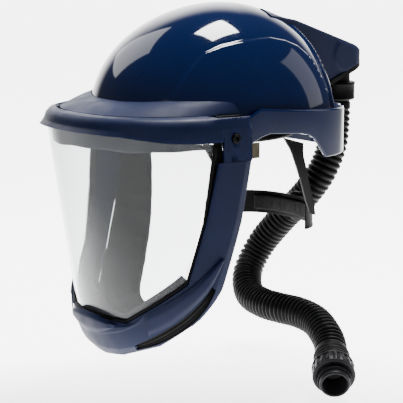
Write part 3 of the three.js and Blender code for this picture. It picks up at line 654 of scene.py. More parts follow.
def make_band():
    turns = np.concatenate([np.linspace(0, 66, 67)[1:], np.linspace(67, 75.2, 12), [75.5, 75.7, 76.5],
                            np.linspace(78, WING_REAR, 12)])
    us = np.concatenate([-turns[::-1], [0], turns])
    rows = [0, 0.5, 1, 1.5, 2, 2.5, 3, 4, 4.3, 4.6, 4.8, 5]
    band = sheet("visor_band_fine", band_surface(BAND_OUTER, WING_OUTER),
                 band_surface(BAND_INNER, WING_INNER), us, rows)
    holes = []
    for name, side in SIDES:
        holes.append(pivot_hole(f"hole_{name}", side, 3.2, 100))
        holes.append(pivot_hole(f"counterbore_{name}", side, 5.6, 122.4))
    cut_out(band, *holes)
    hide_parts("visor_band")
    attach(band, "visor")
    return soften(band, 0.6, 2, 30)


band = make_band()

# ------------------------------------------------------------------ visor frame, pane and seals

# Half of each line round the pane, as (degrees, z): the side's top, the jaw corner, the chin corner and
# the chin's middle, with points between them.
SEAM_Z = -28.75
PANE_LINE = [(70.52, SEAM_Z), (61, -90), (50, -150), (36.4, -171.5), (22.8, -193), (11.4, -193), (0, -193)]
REAR_LINE = [(90.2, SEAM_Z), (80.6, -90), (66.5, -160), (58.2, -191), (46, -221), (25, -236), (0, -240)]
COLUMNS = [10, 14, 12, 12, 6, 6]
# Upper and lower edge of each exhalation slot.
SLOT_UPPER = [(31.5, -220.5), (38, -211), (46.8, -195), (55.5, -174), (62, -155)]
SLOT_LOWER = [(33.5, -227), (45, -217.5), (53, -202), (59, -182), (63.5, -159)]


def moved_out(line, degrees, drop):
    """A line round the pane, moved away from it."""
    share = [0, 0, 0.45, 0.8, 1, 1, 1]
    return [(a + degrees * (1 if a > 0 else 0), z - drop * s) for (a, z), s in zip(line, share)]


def make_frame():
    edge = moved_out(PANE_LINE, 1.5, 3)
    stations = [0, 0.012, 0.05, 0.12, 0.3, 0.5, 0.7, 0.78, 0.80, 0.97, 1]
    heights = [1.6, 2.2, 2.9, 3.0, 3.0, 3.0, 3.0, 3.0, 2.9, 1.0, 0.4]
    frame_piece = ribbon("visor_frame_fine", edge, REAR_LINE, lambda v: np.interp(v, stations, heights), -2,
                         [c * 2 for c in COLUMNS], stations)
    slots = []
    for _, side in SIDES:
        slots.append(face_patch(f"slot_{side}", SLOT_UPPER, SLOT_LOWER, side, 15, -15, 30, 2))
    cut_out(frame_piece, *slots)
    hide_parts("visor_frame")
    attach(frame_piece, "visor")
    return soften(frame_piece, 0.5, 2, 30)


visor_frame = make_frame()


def make_vent_inserts():
    """Louvred insert at the foot of each exhalation slot."""
    inserts = []
    for name, side in SIDES:
        insert = face_patch(f"exhalation_grille_{name}_louvred", SLOT_UPPER, SLOT_LOWER, side,
                            lambda u, v: 0.45 * np.cos(v * 6 * math.pi) - 0.4, -1.7, 61, 31)
        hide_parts(f"exhalation_grille_{name}")
        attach(insert, "visor")
        inserts.append(insert)
    return inserts


vent_inserts = make_vent_inserts()

PANE_TOP = 4.5
PANE_CORNER_TOP = -9


def make_pane():
    """Clear sheet, lowered at its top corners to pass the pivots, with a thin bevel all round."""
    heights = [-193, -150, -20]
    angles = [22.8, 50, 72]

    def surface(grow, inset):
        def at(u, v):
            top = lerp(PANE_TOP, PANE_CORNER_TOP, smooth(np.abs(u), 0.82, 0.855)) - inset
            z = lerp(top, -193 + inset, v)
            half = np.interp(z, heights, angles) - inset * 0.45
            return face_point(u * half, z, grow)
        return at
    us = np.concatenate([np.linspace(-1, -0.86, 8), np.linspace(-0.85, -0.82, 6),
                         np.linspace(-0.81, 0.81, 110), np.linspace(0.82, 0.85, 6), np.linspace(0.86, 1, 8)])
    vs = np.concatenate([np.linspace(0, 0.78, 40), np.linspace(0.79, 1, 30)])
    pane = sheet("visor_pane_fine", surface(-0.9, 0.5), surface(-3.4, 0), us, vs)
    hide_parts("visor_pane")
    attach(pane, "visor")
    return soften(pane, 0.35, 2, 40)


pane = make_pane()


def make_gasket():
    """Black lip round the pane with a web that runs in under the frame, and a flap behind each top corner."""
    stations = [0, 0.1, 0.2, 0.3, 0.4, 0.44, 0.5, 1]
    heights = [0.5, 1.0, 1.3, 1.2, 0.6, -1.2, -2.2, -2.2]
    lip = ribbon("lip", moved_out([(70.6, -10)] + PANE_LINE[1:], 0.25, 0.6),
                 moved_out([(72.5, -10)] + PANE_LINE[1:], 2.7, 6),
                 lambda v: np.interp(v, stations, heights), -3.4, [c * 2 for c in COLUMNS], stations)
    flaps = [face_patch("flap", [(71, -7), (73, -7), (75.2, -7)], [(70.6, -31), (73, -31), (75.2, -31)],
                        side, -2.1, -3.3, 5, 8) for _, side in SIDES]
    gasket = joined("visor_gasket_lip", lip, *flaps)
    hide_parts("visor_gasket")
    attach(gasket, "visor")
    return gasket


gasket = make_gasket()


def make_pane_seals():
    """Grey strips behind the pane: one across its top, one along its lower edges."""
    def top_surface(grow):
        def at(u, v):
            wave = 0.8 * np.sin(u * 9.0) + 0.5 * np.sin(u * 21.0 + 1.0)
            corner = smooth(np.abs(u), 0.8, 0.86)
            z = lerp(2 - 11 * corner, -16.5 + wave, v)
            return face_point(u * 69.6, z, grow)
        return at
    top = sheet("pane_top_seal_strip", top_surface(-4.3), top_surface(-6.0), np.linspace(-1, 1, 121),
                np.linspace(0, 1, 8))
    near = [(48.6, -143), (45.5, -148.6), (34.4, -166.5), (21.2, -187), (10.6, -187), (0, -187)]
    far = [(51.3, -150), (50.6, -153), (37.6, -173.8), (23.6, -195.4), (11.6, -195.4), (0, -195.4)]
    low = ribbon("pane_bottom_seal_strip", near, far, -4.3, -6.0, [8, 16, 20, 8, 8],
                 [0, 0.25, 0.5, 0.75, 1])
    for piece, node in ((top, "pane_top_seal"), (low, "pane_bottom_seal")):
        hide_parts(node)
        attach(piece, "visor")
    return top, low


top_seal, bottom_seal = make_pane_seals()


def on_visor(piece, node, width=0.5):
    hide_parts(node)
    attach(piece, "visor")
    return soften(piece, width, 3, 28)


def make_chin():
    def clip_outer(u, v):
        edge = np.minimum(np.minimum(u, 1 - u) * 12, np.minimum(v, 1 - v) * 3.4)
        return 5 - 1.0 * smooth(edge, 1, 0)
    clip = face_patch("chin_clip_fine", [(-33, -184.5), (-24, -198), (0, -199), (24, -198), (33, -184.5)],
                      [(-33, -193), (-20, -208), (0, -216), (20, -208), (33, -193)],
                      1, clip_outer, 3.7, 73, 13)

    def tab_outer(u, v):
        edge = np.minimum(np.minimum(u, 1 - u) * 8, np.minimum(v, 1 - v) * 3.2)
        return 5.35 + 2.5 * smooth(edge, 0, 1) ** 0.6 + 0.02
    tab = face_patch("grip_tab_fine", [(-19, -199), (-10, -193), (0, -191), (10, -193), (19, -199)],
                     [(-19, -202), (-10, -210), (0, -213), (10, -210), (19, -202)],
                     1, tab_outer, 5.35, 61, 15)
    pieces = [on_visor(clip, "chin_clip"), on_visor(tab, "grip_tab", 0.3)]
    for name, side in SIDES:
        def bar_outer(u, v):
            crown = np.minimum(v, 1 - v) * 2
            return 4.6 + 2.4 * smooth(crown, 0, 0.55)
        bar = face_patch(f"chin_bar_{name}_fine",
                         [(33.8, -184), (42, -171.5), (50.5, -158), (60, -141), (68.2, -124.5)],
                         [(37, -207.5), (46, -193.5), (55, -172.5), (62.5, -151.5), (68.6, -129)],
                         side, bar_outer, 3.6, 60, 11)
        pieces.append(on_visor(bar, f"chin_bar_{name}"))
    return pieces


chin_pieces = make_chin()

# ------------------------------------------------------------------ face seal

HEM = [(89, 4, -22), (82, 2, -70), (73, -6, -120), (60, -22, -160), (36, -44, -188), (0, -56, -198)]
SEAL_EDGE_Z = [-32, -74, -122, -168, -207, -232]
REAR_EDGE = [(-240, 10), (-237.8, 17), (-228, 40.5), (-216, 50), (-201, 55.6), (-184.6, 60), (-167, 64.5),
             (-152, 68.5), (-108, 77.6), (-68, 84.3), (-28, 90.3)]


def seal_surface(u, v):
    from_top = 1 - np.minimum(1, np.abs(u))
    z = np.interp(from_top, np.linspace(0, 1, len(SEAL_EDGE_Z)), SEAL_EDGE_Z)
    out = np.minimum(1, np.abs(u) * 4)
    edge = face_point((along(REAR_EDGE, z) - 1) * out, z, -3.2)
    hem = spline(HEM, from_top)
    point = lerp(edge, hem, np.clip(v, 0, 1)[..., None])
    point[..., 0] *= np.sign(u)
    return point


def make_face_seal():
    """Cloth shroud, gathered towards its elastic hem."""
    def surface(offset):
        def at(u, v):
            step = 1e-3
            along_u = seal_surface(u + step, v) - seal_surface(u - step, v)
            along_v = seal_surface(u, np.clip(v + step, 0, 1)) - seal_surface(u, np.clip(v - step, 0, 1))
            normal = np.cross(along_u, along_v)
            normal /= np.maximum(np.linalg.norm(normal, axis=-1, keepdims=True), 1e-9)
            fold = np.sin(u * 58) + 0.45 * np.sin(u * 97 + 1.3)
            gather = 0.9 * np.sin(math.pi * np.clip(v, 0, 1) * 0.5) ** 1.5
            cased = smooth(v, 0.86, 0.9)
            lift = gather * fold * (1 - 0.6 * cased) + offset * (1 + 0.6 * cased)
            return seal_surface(u, v) - normal * (lift + 1.0)[..., None]
        return at
    half = np.concatenate([np.linspace(0.01, 0.25, 50), np.linspace(0.255, 0.999, 130)])
    us = np.concatenate([-half[::-1], half])
    seal = sheet("face_seal_cloth", surface(-0.6), surface(0.6), us, np.linspace(0, 1, 26))
    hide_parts("face_seal")
    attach(seal, "visor")
    return seal


face_seal = make_face_seal()

# ------------------------------------------------------------------ head harness

HEADBAND_TOP = 10
HEADBAND_BOTTOM = -17


def make_headband():
    """Thin plastic band with a raised rib along each edge."""
    rows = [0, 0.06, 0.1, 0.14, 0.5, 0.86, 0.9, 0.94, 1]
    heights = [0.2, 0.5, 0.6, 0, 0, 0, 0.6, 0.5, 0.2]

    def outer(u, v):
        grow = -0.6 + np.interp(v, rows, heights)
        return oval_point(HEADBAND, u, grow, lerp(HEADBAND_TOP, HEADBAND_BOTTOM, v))

    def inner(u, v):
        return oval_point(HEADBAND, u, -2, lerp(HEADBAND_TOP, HEADBAND_BOTTOM, v))
    headband = sheet("headband_fine", outer, inner, np.linspace(0, 360, 240, endpoint=False), rows, True)
    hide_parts("headband")
    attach(headband, "helmet")
    return headband


headband = make_headband()


PAD_VOXEL = 0.0022
CLOTH_FRAMES = 12
CLOTH_PRESSURE = 4


def padded_strip(name, oval, reach, low, high, front, back, cap, body, node, turn=0):
    """Padded strip round an oval, swollen by a cloth simulation up to a cap in millimetres."""
    def at(grow):
        return lambda u, v: oval_point(oval, turn + u, grow, v)
    pad = sheet(name, at(front), at(back), np.linspace(-reach, reach, 60),
                np.linspace(high - 1.5, low + 1.5, 8))
    remesh = pad.modifiers.new("remesh", "REMESH")
    remesh.mode = "VOXEL"
    remesh.voxel_size = PAD_VOXEL
    graph = bpy.context.evaluated_depsgraph_get()
    mesh = bpy.data.meshes.new_from_object(pad.evaluated_get(graph))
    pad.modifiers.clear()
    pad.data = mesh
    start = np.array([v.co[:] for v in mesh.vertices])
    cloth = pad.modifiers.new("cloth", "CLOTH")
    cloth.settings.use_pressure = True
    cloth.settings.uniform_pressure_force = CLOTH_PRESSURE
    cloth.settings.effector_weights.gravity = 0
    cloth.point_cache.frame_start = 1
    cloth.point_cache.frame_end = CLOTH_FRAMES
    for step in range(1, CLOTH_FRAMES + 1):
        bpy.context.scene.frame_set(step)
    graph = bpy.context.evaluated_depsgraph_get()
    swollen = bpy.data.meshes.new_from_object(pad.evaluated_get(graph))
    pad.modifiers.clear()
    moved = np.array([v.co[:] for v in swollen.vertices]) - start
    length = np.linalg.norm(moved, axis=1, keepdims=True)
    moved *= np.minimum(1, cap * 0.001 / np.maximum(length, 1e-9))
    for vertex, place in zip(mesh.vertices, start + moved):
        vertex.co = place
    bpy.context.scene.frame_set(1)
    subdivide = pad.modifiers.new("smooth", "SUBSURF")
    subdivide.levels = subdivide.render_levels = 1
    mesh.shade_smooth()
    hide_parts(node)
    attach(pad, body)
    return pad


sweatband = padded_strip("sweatband_padded", HEADBAND, 61, -18, 12, -4.0, -6.8, 1.1, "helmet", "sweatband")
nape_pad = padded_strip("nape_pad_padded", CRADLE, 59, -119.5, -98.5, -3.6, -7.0, 0.9, "nape", "nape_pad",
                        turn=180)

HANGER_ANGLES = (38, 142, 218, 322)
STRAP_HALF = 9
STRAP_TOP = 88


def make_crown_straps():
    """Flat woven webbing, thinner along its edges."""
    straps = []
    corners = [oval_point(HEADBAND, a, 4, 0) for a in HANGER_ANGLES]
    for i, (a, b, lift) in enumerate(((0, 2, 0), (1, 3, 2.4))):
        middle = (corners[a] + corners[b]) / 2
        reach = corners[a] - middle
        across = np.cross(reach, [0, 0, 1])
        across /= np.linalg.norm(across)
        base = HEADBAND_TOP + 1

        def surface(grow, middle=middle, reach=reach, across=across, lift=lift):
            def at(u, v):
                roll = 0.25 * smooth(np.abs(u), STRAP_HALF - 1.2, STRAP_HALF)
                g = grow + (roll if grow < -0.5 else -roll)
                point = middle + reach * (np.cos(v) * (1 + g / np.linalg.norm(reach)))[..., None]
                point = point + across * u[..., None]
                point[..., 2] += base + (STRAP_TOP + lift + g - base) * np.sin(v)
                return point
            return at
        strap = sheet(f"crown_strap_{i + 1}_webbing", surface(0), surface(-1.4),
                      [-9, -8.6, -8.1, -7.6, -4, 0, 4, 7.6, 8.1, 8.6, 9],
                      np.linspace(0.02, math.pi - 0.02, 90))
        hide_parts(f"crown_strap_{i + 1}")
        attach(strap, "helmet")
        straps.append(strap)
    return straps


crown_straps = make_crown_straps()
ARM_ROUTE = [(88.5, 70, -18.5), (86, 82, -46), (81, 94, -72), (73, 110, -104)]


def make_nape_arms():
    """Curved plastic arms, broad where they leave the headband, with a raised edge and a blade tip."""
    arms = []
    for name, side in SIDES:
        def surface(grow, side=side):
            def at(u, v):
                point = spline(ARM_ROUTE, v)
                width = np.interp(v, [0, 0.2, 0.55, 0.85, 1], [1.25, 1.0, 0.75, 0.7, 0.45])
                rim = 0.5 * smooth(np.abs(u), 0.72, 0.86) if grow > -1 else 0
                flare = np.interp(v, [0, 0.16], [1, 0])
                x = side * (point[..., 0] + grow - 0.5 * (grow > -1) + rim)
                return np.stack([x, point[..., 1] + u * width * 8 + flare * 3 * u,
                                 point[..., 2] - u * 3 * width], -1)
            return at
        arm = sheet(f"nape_arm_{name}_fine", surface(0), surface(-2.5),
                    [-1, -0.9, -0.86, -0.72, -0.3, 0.3, 0.72, 0.86, 0.9, 1], np.linspace(0, 1, 50))
        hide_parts(f"nape_arm_{name}")
        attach(arm, "helmet")
        arms.append(soften(arm, 0.4, 2, 35))
    return arms


nape_arms = make_nape_arms()
KNOB_AT = (0, 142, -109)


def make_ratchet():
    def grip(angle, radius, height):
        return -1.1 * (0.5 - 0.5 * math.cos(angle * 20)) if radius > 15 and height < 12.6 else 0
    knob = turned("ratchet_knob_ribbed", [
        (0, 3.4), (2.6, 3.4), (2.6, 5.4), (15.2, 5.4), (16, 6.2), (16, 11.6), (15.6, 12.6), (14.6, 13.4),
        (13, 13.8), (12, 13.4), (11.2, 12.6), (4, 12.4), (0, 12.4)], KNOB_AT, (0, 1, 0), 200, grip)
    housing = turned("ratchet_housing_turned", [
        (0, 0.6), (16, 0.6), (17, 1.4), (17, 4.2), (16.4, 5), (3, 5), (3, 3), (0, 3)], KNOB_AT, (0, 1, 0), 96)
    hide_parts("ratchet_knob")
    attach(knob, "knob")
    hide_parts("ratchet_housing")
    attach(housing, "nape")
    return knob, housing


knob, housing = make_ratchet()


CRADLE_TOP = -96
CRADLE_BOTTOM = -122


def make_cradle():
    """Curved rear cradle with a raised rim."""
    rows = [0, 0.04, 0.1, 0.16, 0.5, 0.84, 0.9, 0.96, 1]
    heights = [0, 0.0, 0.0, -0.6, -0.6, -0.6, 0.0, 0.0, 0]

    def outer(u, v):
        return oval_point(CRADLE, 180 + u, np.interp(v, rows, heights), lerp(CRADLE_TOP, CRADLE_BOTTOM, v))

    def inner(u, v):
        return oval_point(CRADLE, 180 + u, -2.5, lerp(CRADLE_TOP, CRADLE_BOTTOM, v))
    cradle = sheet("nape_cradle_fine", outer, inner, np.linspace(-76, 76, 90), rows)
    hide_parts("nape_cradle")
    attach(cradle, "nape")
    return soften(cradle, 0.4, 2, 35)


cradle = make_cradle()

# ------------------------------------------------------------------ materials


class Shader:
    """A material whose colour, roughness and bump come from procedural textures in metres."""

    def __init__(self, name):
        self.material = bpy.data.materials.new(name)
        self.material.use_nodes = True
        self.tree = self.material.node_tree
        self.surface = self.tree.nodes["Principled BSDF"]
        self.place = self.add("ShaderNodeTexCoord").outputs["Object"]
        self.height = None

    def add(self, kind, **settings):
        node = self.tree.nodes.new(kind)
        for key, value in settings.items():
            setattr(node, key, value)
        return node

    def link(self, source, target):
        self.tree.links.new(source, target)

    def fixed(self, **values):
        for key, value in values.items():
            self.surface.inputs[key.replace("_", " ")].default_value = value

    def noise(self, scale, detail=3.0, stretch=(1, 1, 1), roughness=0.5):
        mapping = self.add("ShaderNodeMapping")
        mapping.inputs["Scale"].default_value = stretch
        self.link(self.place, mapping.inputs["Vector"])
        node = self.add("ShaderNodeTexNoise")
        node.inputs["Scale"].default_value = scale
        node.inputs["Detail"].default_value = detail
        node.inputs["Roughness"].default_value = roughness
        self.link(mapping.outputs["Vector"], node.inputs["Vector"])
        return node.outputs["Fac"]

    def wave(self, scale, direction, distortion=0.0):
        node = self.add("ShaderNodeTexWave", wave_type="BANDS", bands_direction=direction)
        node.inputs["Scale"].default_value = scale
        node.inputs["Distortion"].default_value = distortion
        self.link(self.place, node.inputs["Vector"])
        return node.outputs["Fac"]

    def math(self, operation, a, b):
        node = self.add("ShaderNodeMath", operation=operation)
        for socket, value in zip(node.inputs, (a, b)):
            if isinstance(value, (int, float)):
                socket.default_value = value
            else:
                self.link(value, socket)
        return node.outputs[0]

    def ramp(self, value, stops):
        """Colour ramp through (position, colour) stops."""
        node = self.add("ShaderNodeValToRGB")
        elements = node.color_ramp.elements
        while len(elements) < len(stops):
            elements.new(0.5)
        for element, (position, colour) in zip(elements, stops):
            element.position = position
            element.color = (*colour, 1)
        self.link(value, node.inputs["Fac"])
        return node.outputs["Color"]

    def dot(self, direction):
        node = self.add("ShaderNodeVectorMath", operation="DOT_PRODUCT")
        self.link(self.place, node.inputs[0])
        node.inputs[1].default_value = direction
        return node.outputs["Value"]

    def span(self, value, low, high, to_low, to_high):
        node = self.add("ShaderNodeMapRange")
        for key, number in (("From Min", low), ("From Max", high), ("To Min", to_low), ("To Max", to_high)):
            node.inputs[key].default_value = number
        self.link(value, node.inputs["Value"])
        return node.outputs["Result"]

    def bump(self, height, strength, distance):
        node = self.add("ShaderNodeBump")
        node.inputs["Strength"].default_value = strength
        node.inputs["Distance"].default_value = distance
        self.link(height, node.inputs["Height"])
        if self.height is not None:
            self.link(self.height, node.inputs["Normal"])
        self.height = node.outputs["Normal"]
        self.link(self.height, self.surface.inputs["Normal"])

    def worn(self, colour, lighter, low=0.52, high=0.6, amount=0.5):
        """Mixes a lighter colour in along convex edges."""
        edge = self.span(self.add("ShaderNodeNewGeometry").outputs["Pointiness"], low, high, 0, amount)
        patch = self.span(self.noise(160), 0.35, 0.65, 0.2, 1)
        mix = self.add("ShaderNodeMix", data_type="RGBA")
        self.link(self.math("MULTIPLY", edge, patch), mix.inputs["Factor"])
        self.link(colour, mix.inputs["A"])
        mix.inputs["B"].default_value = (*lighter, 1)
        return mix.outputs["Result"]

    def colour(self, value):
        self.link(value, self.surface.inputs["Base Color"])

    def rough(self, value):
        self.link(value, self.surface.inputs["Roughness"])


def shade(colour, factor):
    return tuple(min(1, c * factor) for c in colour)


def gloss_shell():
    """Deep blue gloss moulding: slightly clouded colour, streaked rub marks and a very faint orange peel."""
    shader = Shader("shell_gloss_blue")
    base = (0.0007, 0.0074, 0.047)
    shader.colour(shader.ramp(shader.noise(9, 4), [(0.3, shade(base, 0.88)), (0.7, shade(base, 1.15))]))
    rubs = shader.noise(420, 2, (1, 0.06, 1))
    shader.rough(shader.span(shader.math("MULTIPLY", rubs, shader.noise(14)), 0.1, 0.45, 0.05, 0.09))
    shader.fixed(Coat_Weight=0.15, Coat_Roughness=0.03, IOR=1.5)
    shader.bump(shader.noise(90, 1), 0.006, 0.0004)
    return shader.material


def fine_moulding(name, base, grain=2400, rough=(0.42, 0.58), wear=1.9, bump=0.25, gleam=0.2):
    """Moulded plastic with a spark-eroded grain, paler along its edges where hands rub it."""
    shader = Shader(name)
    cloud = shader.ramp(shader.noise(22, 4), [(0.3, shade(base, 0.9)), (0.7, shade(base, 1.12))])
    shader.colour(shader.worn(cloud, shade(base, wear)))
    shader.rough(shader.span(shader.noise(60, 3), 0.3, 0.7, *rough))
    shader.fixed(IOR=1.5, Specular_IOR_Level=gleam)
    shader.bump(shader.noise(grain, 2, roughness=0.7), bump, 0.00012)
    return shader.material


def clear_pane():
    """Polycarbonate: nearly clear, with a breath of grey and fine wipe marks."""
    shader = Shader("pane_clear")
    shader.colour(shader.ramp(shader.noise(7, 2), [(0.3, (0.80, 0.825, 0.83)), (0.7, (0.86, 0.88, 0.885))]))
    wipes = shader.noise(260, 3, (1, 1, 0.05))
    shader.rough(shader.span(wipes, 0.45, 0.75, 0.015, 0.06))
    shader.fixed(Transmission_Weight=0.97, IOR=1.35, Specular_IOR_Level=0.5)
    shader.bump(shader.noise(18, 1), 0.02, 0.001)
    return shader.material


def rubber(name, base, bump=0.3):
    """Matt rubber with a bloom that settles unevenly."""
    shader = Shader(name)
    shader.colour(shader.ramp(shader.noise(45, 4), [(0.3, base), (0.75, shade(base, 2.0))]))
    shader.rough(shader.span(shader.noise(130, 3), 0.3, 0.7, 0.5, 0.7))
    shader.fixed(Sheen_Weight=0.02, Sheen_Roughness=0.5, Specular_IOR_Level=0.12)
    shader.bump(shader.noise(1500, 2), bump, 0.00015)
    return shader.material


def hose_plastic():
    """Black corrugated hose, paler on its crowns than in its grooves: painted shade in the grooves."""
    shader = Shader("hose_black")
    pointy = shader.add("ShaderNodeNewGeometry").outputs["Pointiness"]
    # Pointiness ramp: painted shade makes the grooves darker than the crowns.
    shader.colour(shader.ramp(pointy, [(0.42, (0.001, 0.001, 0.0011)), (0.56, (0.005, 0.005, 0.0054))]))
    shader.rough(shader.span(shader.noise(90, 3), 0.3, 0.7, 0.34, 0.5))
    shader.fixed(Specular_IOR_Level=0.07)
    shader.bump(shader.noise(900, 3), 0.25, 0.0002)
    return shader.material


def woven(name, base, pitch=1500, sheen=0.3, contrast=1.7, depth=0.0004, relief=0.6):
    """Woven cloth: crossed threads in all three directions, fuzz and uneven dye."""
    shader = Shader(name)
    threads = shader.math("MULTIPLY", shader.wave(pitch / 3, "X", 0.6), shader.wave(pitch / 3, "Z", 0.6))
    threads = shader.math("ADD", threads, shader.wave(pitch / 3, "Y", 0.6))
    shader.colour(shader.ramp(shader.math("MULTIPLY", threads, shader.noise(60, 4)),
                              [(0.15, shade(base, 1 / contrast)), (0.7, shade(base, contrast))]))
    shader.rough(shader.span(shader.noise(300), 0.3, 0.7, 0.8, 0.95))
    shader.fixed(Sheen_Weight=sheen, Sheen_Roughness=0.4, Specular_IOR_Level=0.2)
    shader.bump(threads, relief, depth)
    shader.bump(shader.noise(2600, 2), 0.3, 0.0002)
    return shader.material


def foam_strip():
    """Grey sealing strip with an uneven, matt skin."""
    shader = Shader("seal_strip_grey")
    shader.colour(shader.ramp(shader.noise(110, 5),
                              [(0.3, (0.05, 0.053, 0.068)), (0.7, (0.08, 0.084, 0.104))]))
    shader.rough(shader.span(shader.noise(500), 0.3, 0.7, 0.5, 0.75))
    shader.fixed(Specular_IOR_Level=0.3)
    shader.bump(shader.noise(1800, 3), 0.3, 0.0002)
    return shader.material


def brushed_metal():
    """Turned steel with fine streaks."""
    shader = Shader("steel_turned")
    shader.colour(shader.ramp(shader.noise(80, 4), [(0.3, (0.33, 0.34, 0.36)), (0.7, (0.5, 0.5, 0.52))]))
    shader.rough(shader.span(shader.noise(900, 2, (1, 0.1, 0.1)), 0.3, 0.7, 0.22, 0.42))
    shader.fixed(Metallic=1.0)
    shader.bump(shader.noise(1600, 2, (0.1, 1, 1)), 0.15, 0.0001)
    return shader.material


NAVY = (0.0048, 0.0100, 0.041)
navy = fine_moulding("moulding_navy", NAVY, grain=2600, rough=(0.40, 0.55))
# The brow cover uses the navy made 1.3 times lighter: painted light on its upward-facing top.
navy_painted_lit_top = fine_moulding("moulding_navy_brow_painted_lit", shade(NAVY, 1.3), grain=2600, rough=(0.48, 0.6))
black = fine_moulding("plastic_black", (0.002, 0.002, 0.0023), grain=2000, rough=(0.38, 0.55), wear=2.5,
                      gleam=0.12)
dark_ring = fine_moulding("coupling_grey", (0.008, 0.008, 0.0095), grain=2000, rough=(0.35, 0.5), wear=2.6,
                          gleam=0.15)
grey = fine_moulding("harness_grey", (0.003, 0.003, 0.0033), grain=2200, rough=(0.4, 0.6), wear=1.7,
                     gleam=0.1)
black_rubber = rubber("rubber_black", (0.0015, 0.0015, 0.0018))
seal_cloth = woven("seal_cloth_black", (0.0015, 0.0015, 0.0018), pitch=2400, sheen=0.02, contrast=1.3,
                   relief=0.2)
pad_cloth = woven("padding_cloth", (0.006, 0.006, 0.007), pitch=1900, sheen=0.05)
webbing = woven("webbing_black", (0.005, 0.005, 0.006), pitch=1400, sheen=0.04, depth=0.0006)
tan = woven("webbing_tan", (0.10, 0.085, 0.05), pitch=1400, sheen=0.3)
strip_grey = foam_strip()


def dress(obj, material):
    """Gives a piece its material."""
    obj.data.materials.clear()
    obj.data.materials.append(material)


def dress_all():
    dress(shell, gloss_shell())
    dress(duct_cover, navy)
    dress(brow_cover, navy_painted_lit_top)
    dress(band, navy)
    dress(visor_frame, navy)
    for piece in chin_pieces:
        dress(piece, navy)
    dress(pane, clear_pane())
    dress(gasket, black_rubber)
    for piece in brow_strips:
        dress(piece, black_rubber)
    for piece in (top_seal, bottom_seal):
        dress(piece, strip_grey)
    dress(face_seal, seal_cloth)
    dress(hose, hose_plastic())
    dress(cuff, black_rubber)
    dress(o_ring, black_rubber)
    dress(coupling_ring, dark_ring)
    dress(coupling_spigot, dark_ring)
    for piece in [collar, knob, housing, cradle] + vent_inserts:
        dress(piece, black)
    dress(headband, grey)
    for piece in nape_arms:
        dress(piece, grey)
    for piece in (sweatband, nape_pad):
        dress(piece, pad_cloth)
    for piece in crown_straps:
        dress(piece, webbing)


def dress_nodes():
    """Materials and softened edges for the CAD nodes that stay as they are."""
    steel = brushed_metal()
    kept = {"duct_base": (black, 0.6), "brow_gasket": (black_rubber, 0.3), "air_channel": (grey, 0.3)}
    for i in range(1, 5):
        kept[f"strap_hanger_{i}"] = (grey, 0.8)
    for name, _ in SIDES:
        kept[f"valve_disc_{name}"] = (black_rubber, 0.2)
        kept[f"valve_seat_{name}"] = (black, 0.4)
        kept[f"pivot_block_{name}"] = (black, 0.5)
        kept[f"pivot_washer_{name}"] = (steel, 0.15)
        kept[f"pivot_screw_{name}"] = (black, 0.2)
        kept[f"webbing_tab_{name}"] = (tan, 0.3)
    for name, (material, width) in kept.items():
        node = nodes[name]
        node.data.materials.clear()
        node.data.materials.append(material)
        for polygon in node.data.polygons:
            polygon.use_smooth = True
        soften(node, width, 2, 34)


dress_all()
dress_nodes()

# ------------------------------------------------------------------ floor and light


# Level direction from the camera through the object.
VIEW_AWAY = (-0.819, 0.574)
# Radiance of the floor behind the object.
FLOOR_GLOW = 5.0
FLOOR_Z = -0.29
CAMERA_REACH = 1.6
# The glow is whole inside the first slope off the view's line and gone past the second.
GLOW_SLOPES = (0.15, 0.45)
# It starts at the first distance along the view, in metres from the origin, and is whole at the second.
GLOW_START = (-0.4, 0.08)
# Cosines off the view's line where the backdrop starts and where it is whole, and the two radiances.
BACKDROP_COSINES = (0.66, 0.97)
BACKDROP_RADIANCE = (0.12, 5.0)


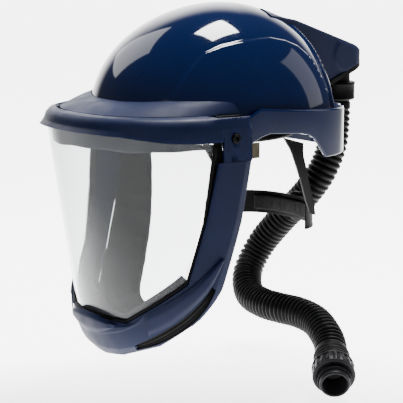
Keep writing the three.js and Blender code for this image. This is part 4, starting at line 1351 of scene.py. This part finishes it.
def add_floor():
    """Pale floor that glows in a wedge widening away from the camera, from just before the object on."""
    bpy.ops.mesh.primitive_plane_add(size=30, location=(0, 0, FLOOR_Z))
    floor = bpy.context.object
    floor.name = "floor"
    shader = Shader("floor_white")
    shader.colour(shader.ramp(shader.noise(3), [(0.3, (0.80, 0.80, 0.80)), (0.7, (0.84, 0.84, 0.84))]))
    shader.fixed(Roughness=0.6)
    away = shader.dot((*VIEW_AWAY, 0))
    across = shader.math("ABSOLUTE", shader.dot((VIEW_AWAY[1], -VIEW_AWAY[0], 0)), 0)
    wedge = shader.math("DIVIDE", across, shader.math("MAXIMUM", shader.math("ADD", away, CAMERA_REACH), 0.1))
    sides = shader.span(wedge, *GLOW_SLOPES, 1, 0)
    front = shader.span(away, *GLOW_START, 0, 1)
    glow = shader.math("MULTIPLY", sides, front)
    glow = shader.math("ADD", shader.math("MULTIPLY", glow, FLOOR_GLOW), 0.1)
    shader.link(glow, shader.surface.inputs["Emission Strength"])
    shader.fixed(Emission_Color=(1, 1, 1, 1))
    floor.data.materials.append(shader.material)


def add_light(name, place, aim, width, depth, radiance):
    """Soft box of a given size and radiance, turned towards a point."""
    data = bpy.data.lights.new(name, "AREA")
    data.shape = "RECTANGLE"
    data.size = width
    data.size_y = depth
    data.energy = radiance * math.pi * width * depth
    lamp = bpy.data.objects.new(name, data)
    lamp.location = place
    lamp.rotation_euler = (Vector(aim) - Vector(place)).to_track_quat("-Z", "Y").to_euler()
    bpy.context.collection.objects.link(lamp)


def add_world():
    """Dim studio with a bright backdrop behind the object."""
    world = bpy.data.worlds.new("studio")
    world.use_nodes = True
    tree = world.node_tree
    place = tree.nodes.new("ShaderNodeTexCoord")
    ahead = tree.nodes.new("ShaderNodeVectorMath")
    ahead.operation = "DOT_PRODUCT"
    ahead.inputs[1].default_value = (*VIEW_AWAY, 0)
    tree.links.new(place.outputs["Generated"], ahead.inputs[0])
    spread = tree.nodes.new("ShaderNodeMapRange")
    spread.interpolation_type = "SMOOTHSTEP"
    limits = (*BACKDROP_COSINES, *BACKDROP_RADIANCE)
    for key, number in zip(("From Min", "From Max", "To Min", "To Max"), limits):
        spread.inputs[key].default_value = number
    tree.links.new(ahead.outputs["Value"], spread.inputs["Value"])
    tree.links.new(spread.outputs["Result"], tree.nodes["Background"].inputs["Strength"])
    tree.nodes["Background"].inputs["Color"].default_value = (1, 1, 1, 1)
    bpy.context.scene.world = world


add_floor()
add_world()
add_light("overhead", (-0.1, 0.42, 1.5), (0, 0.05, 0), 0.55, 0.6, 55)
add_light("left_strip", (-1.35, -0.35, 1.1), (0, 0, 0), 0.9, 1.0, 3)
add_light("rear_right", (0.75, 1.9, 0.75), (0, 0, 0), 0.8, 1.3, 1.2)
add_light("front_fill", (0.9, -1.6, 0.25), (0, 0, -0.1), 0.5, 0.9, 4)
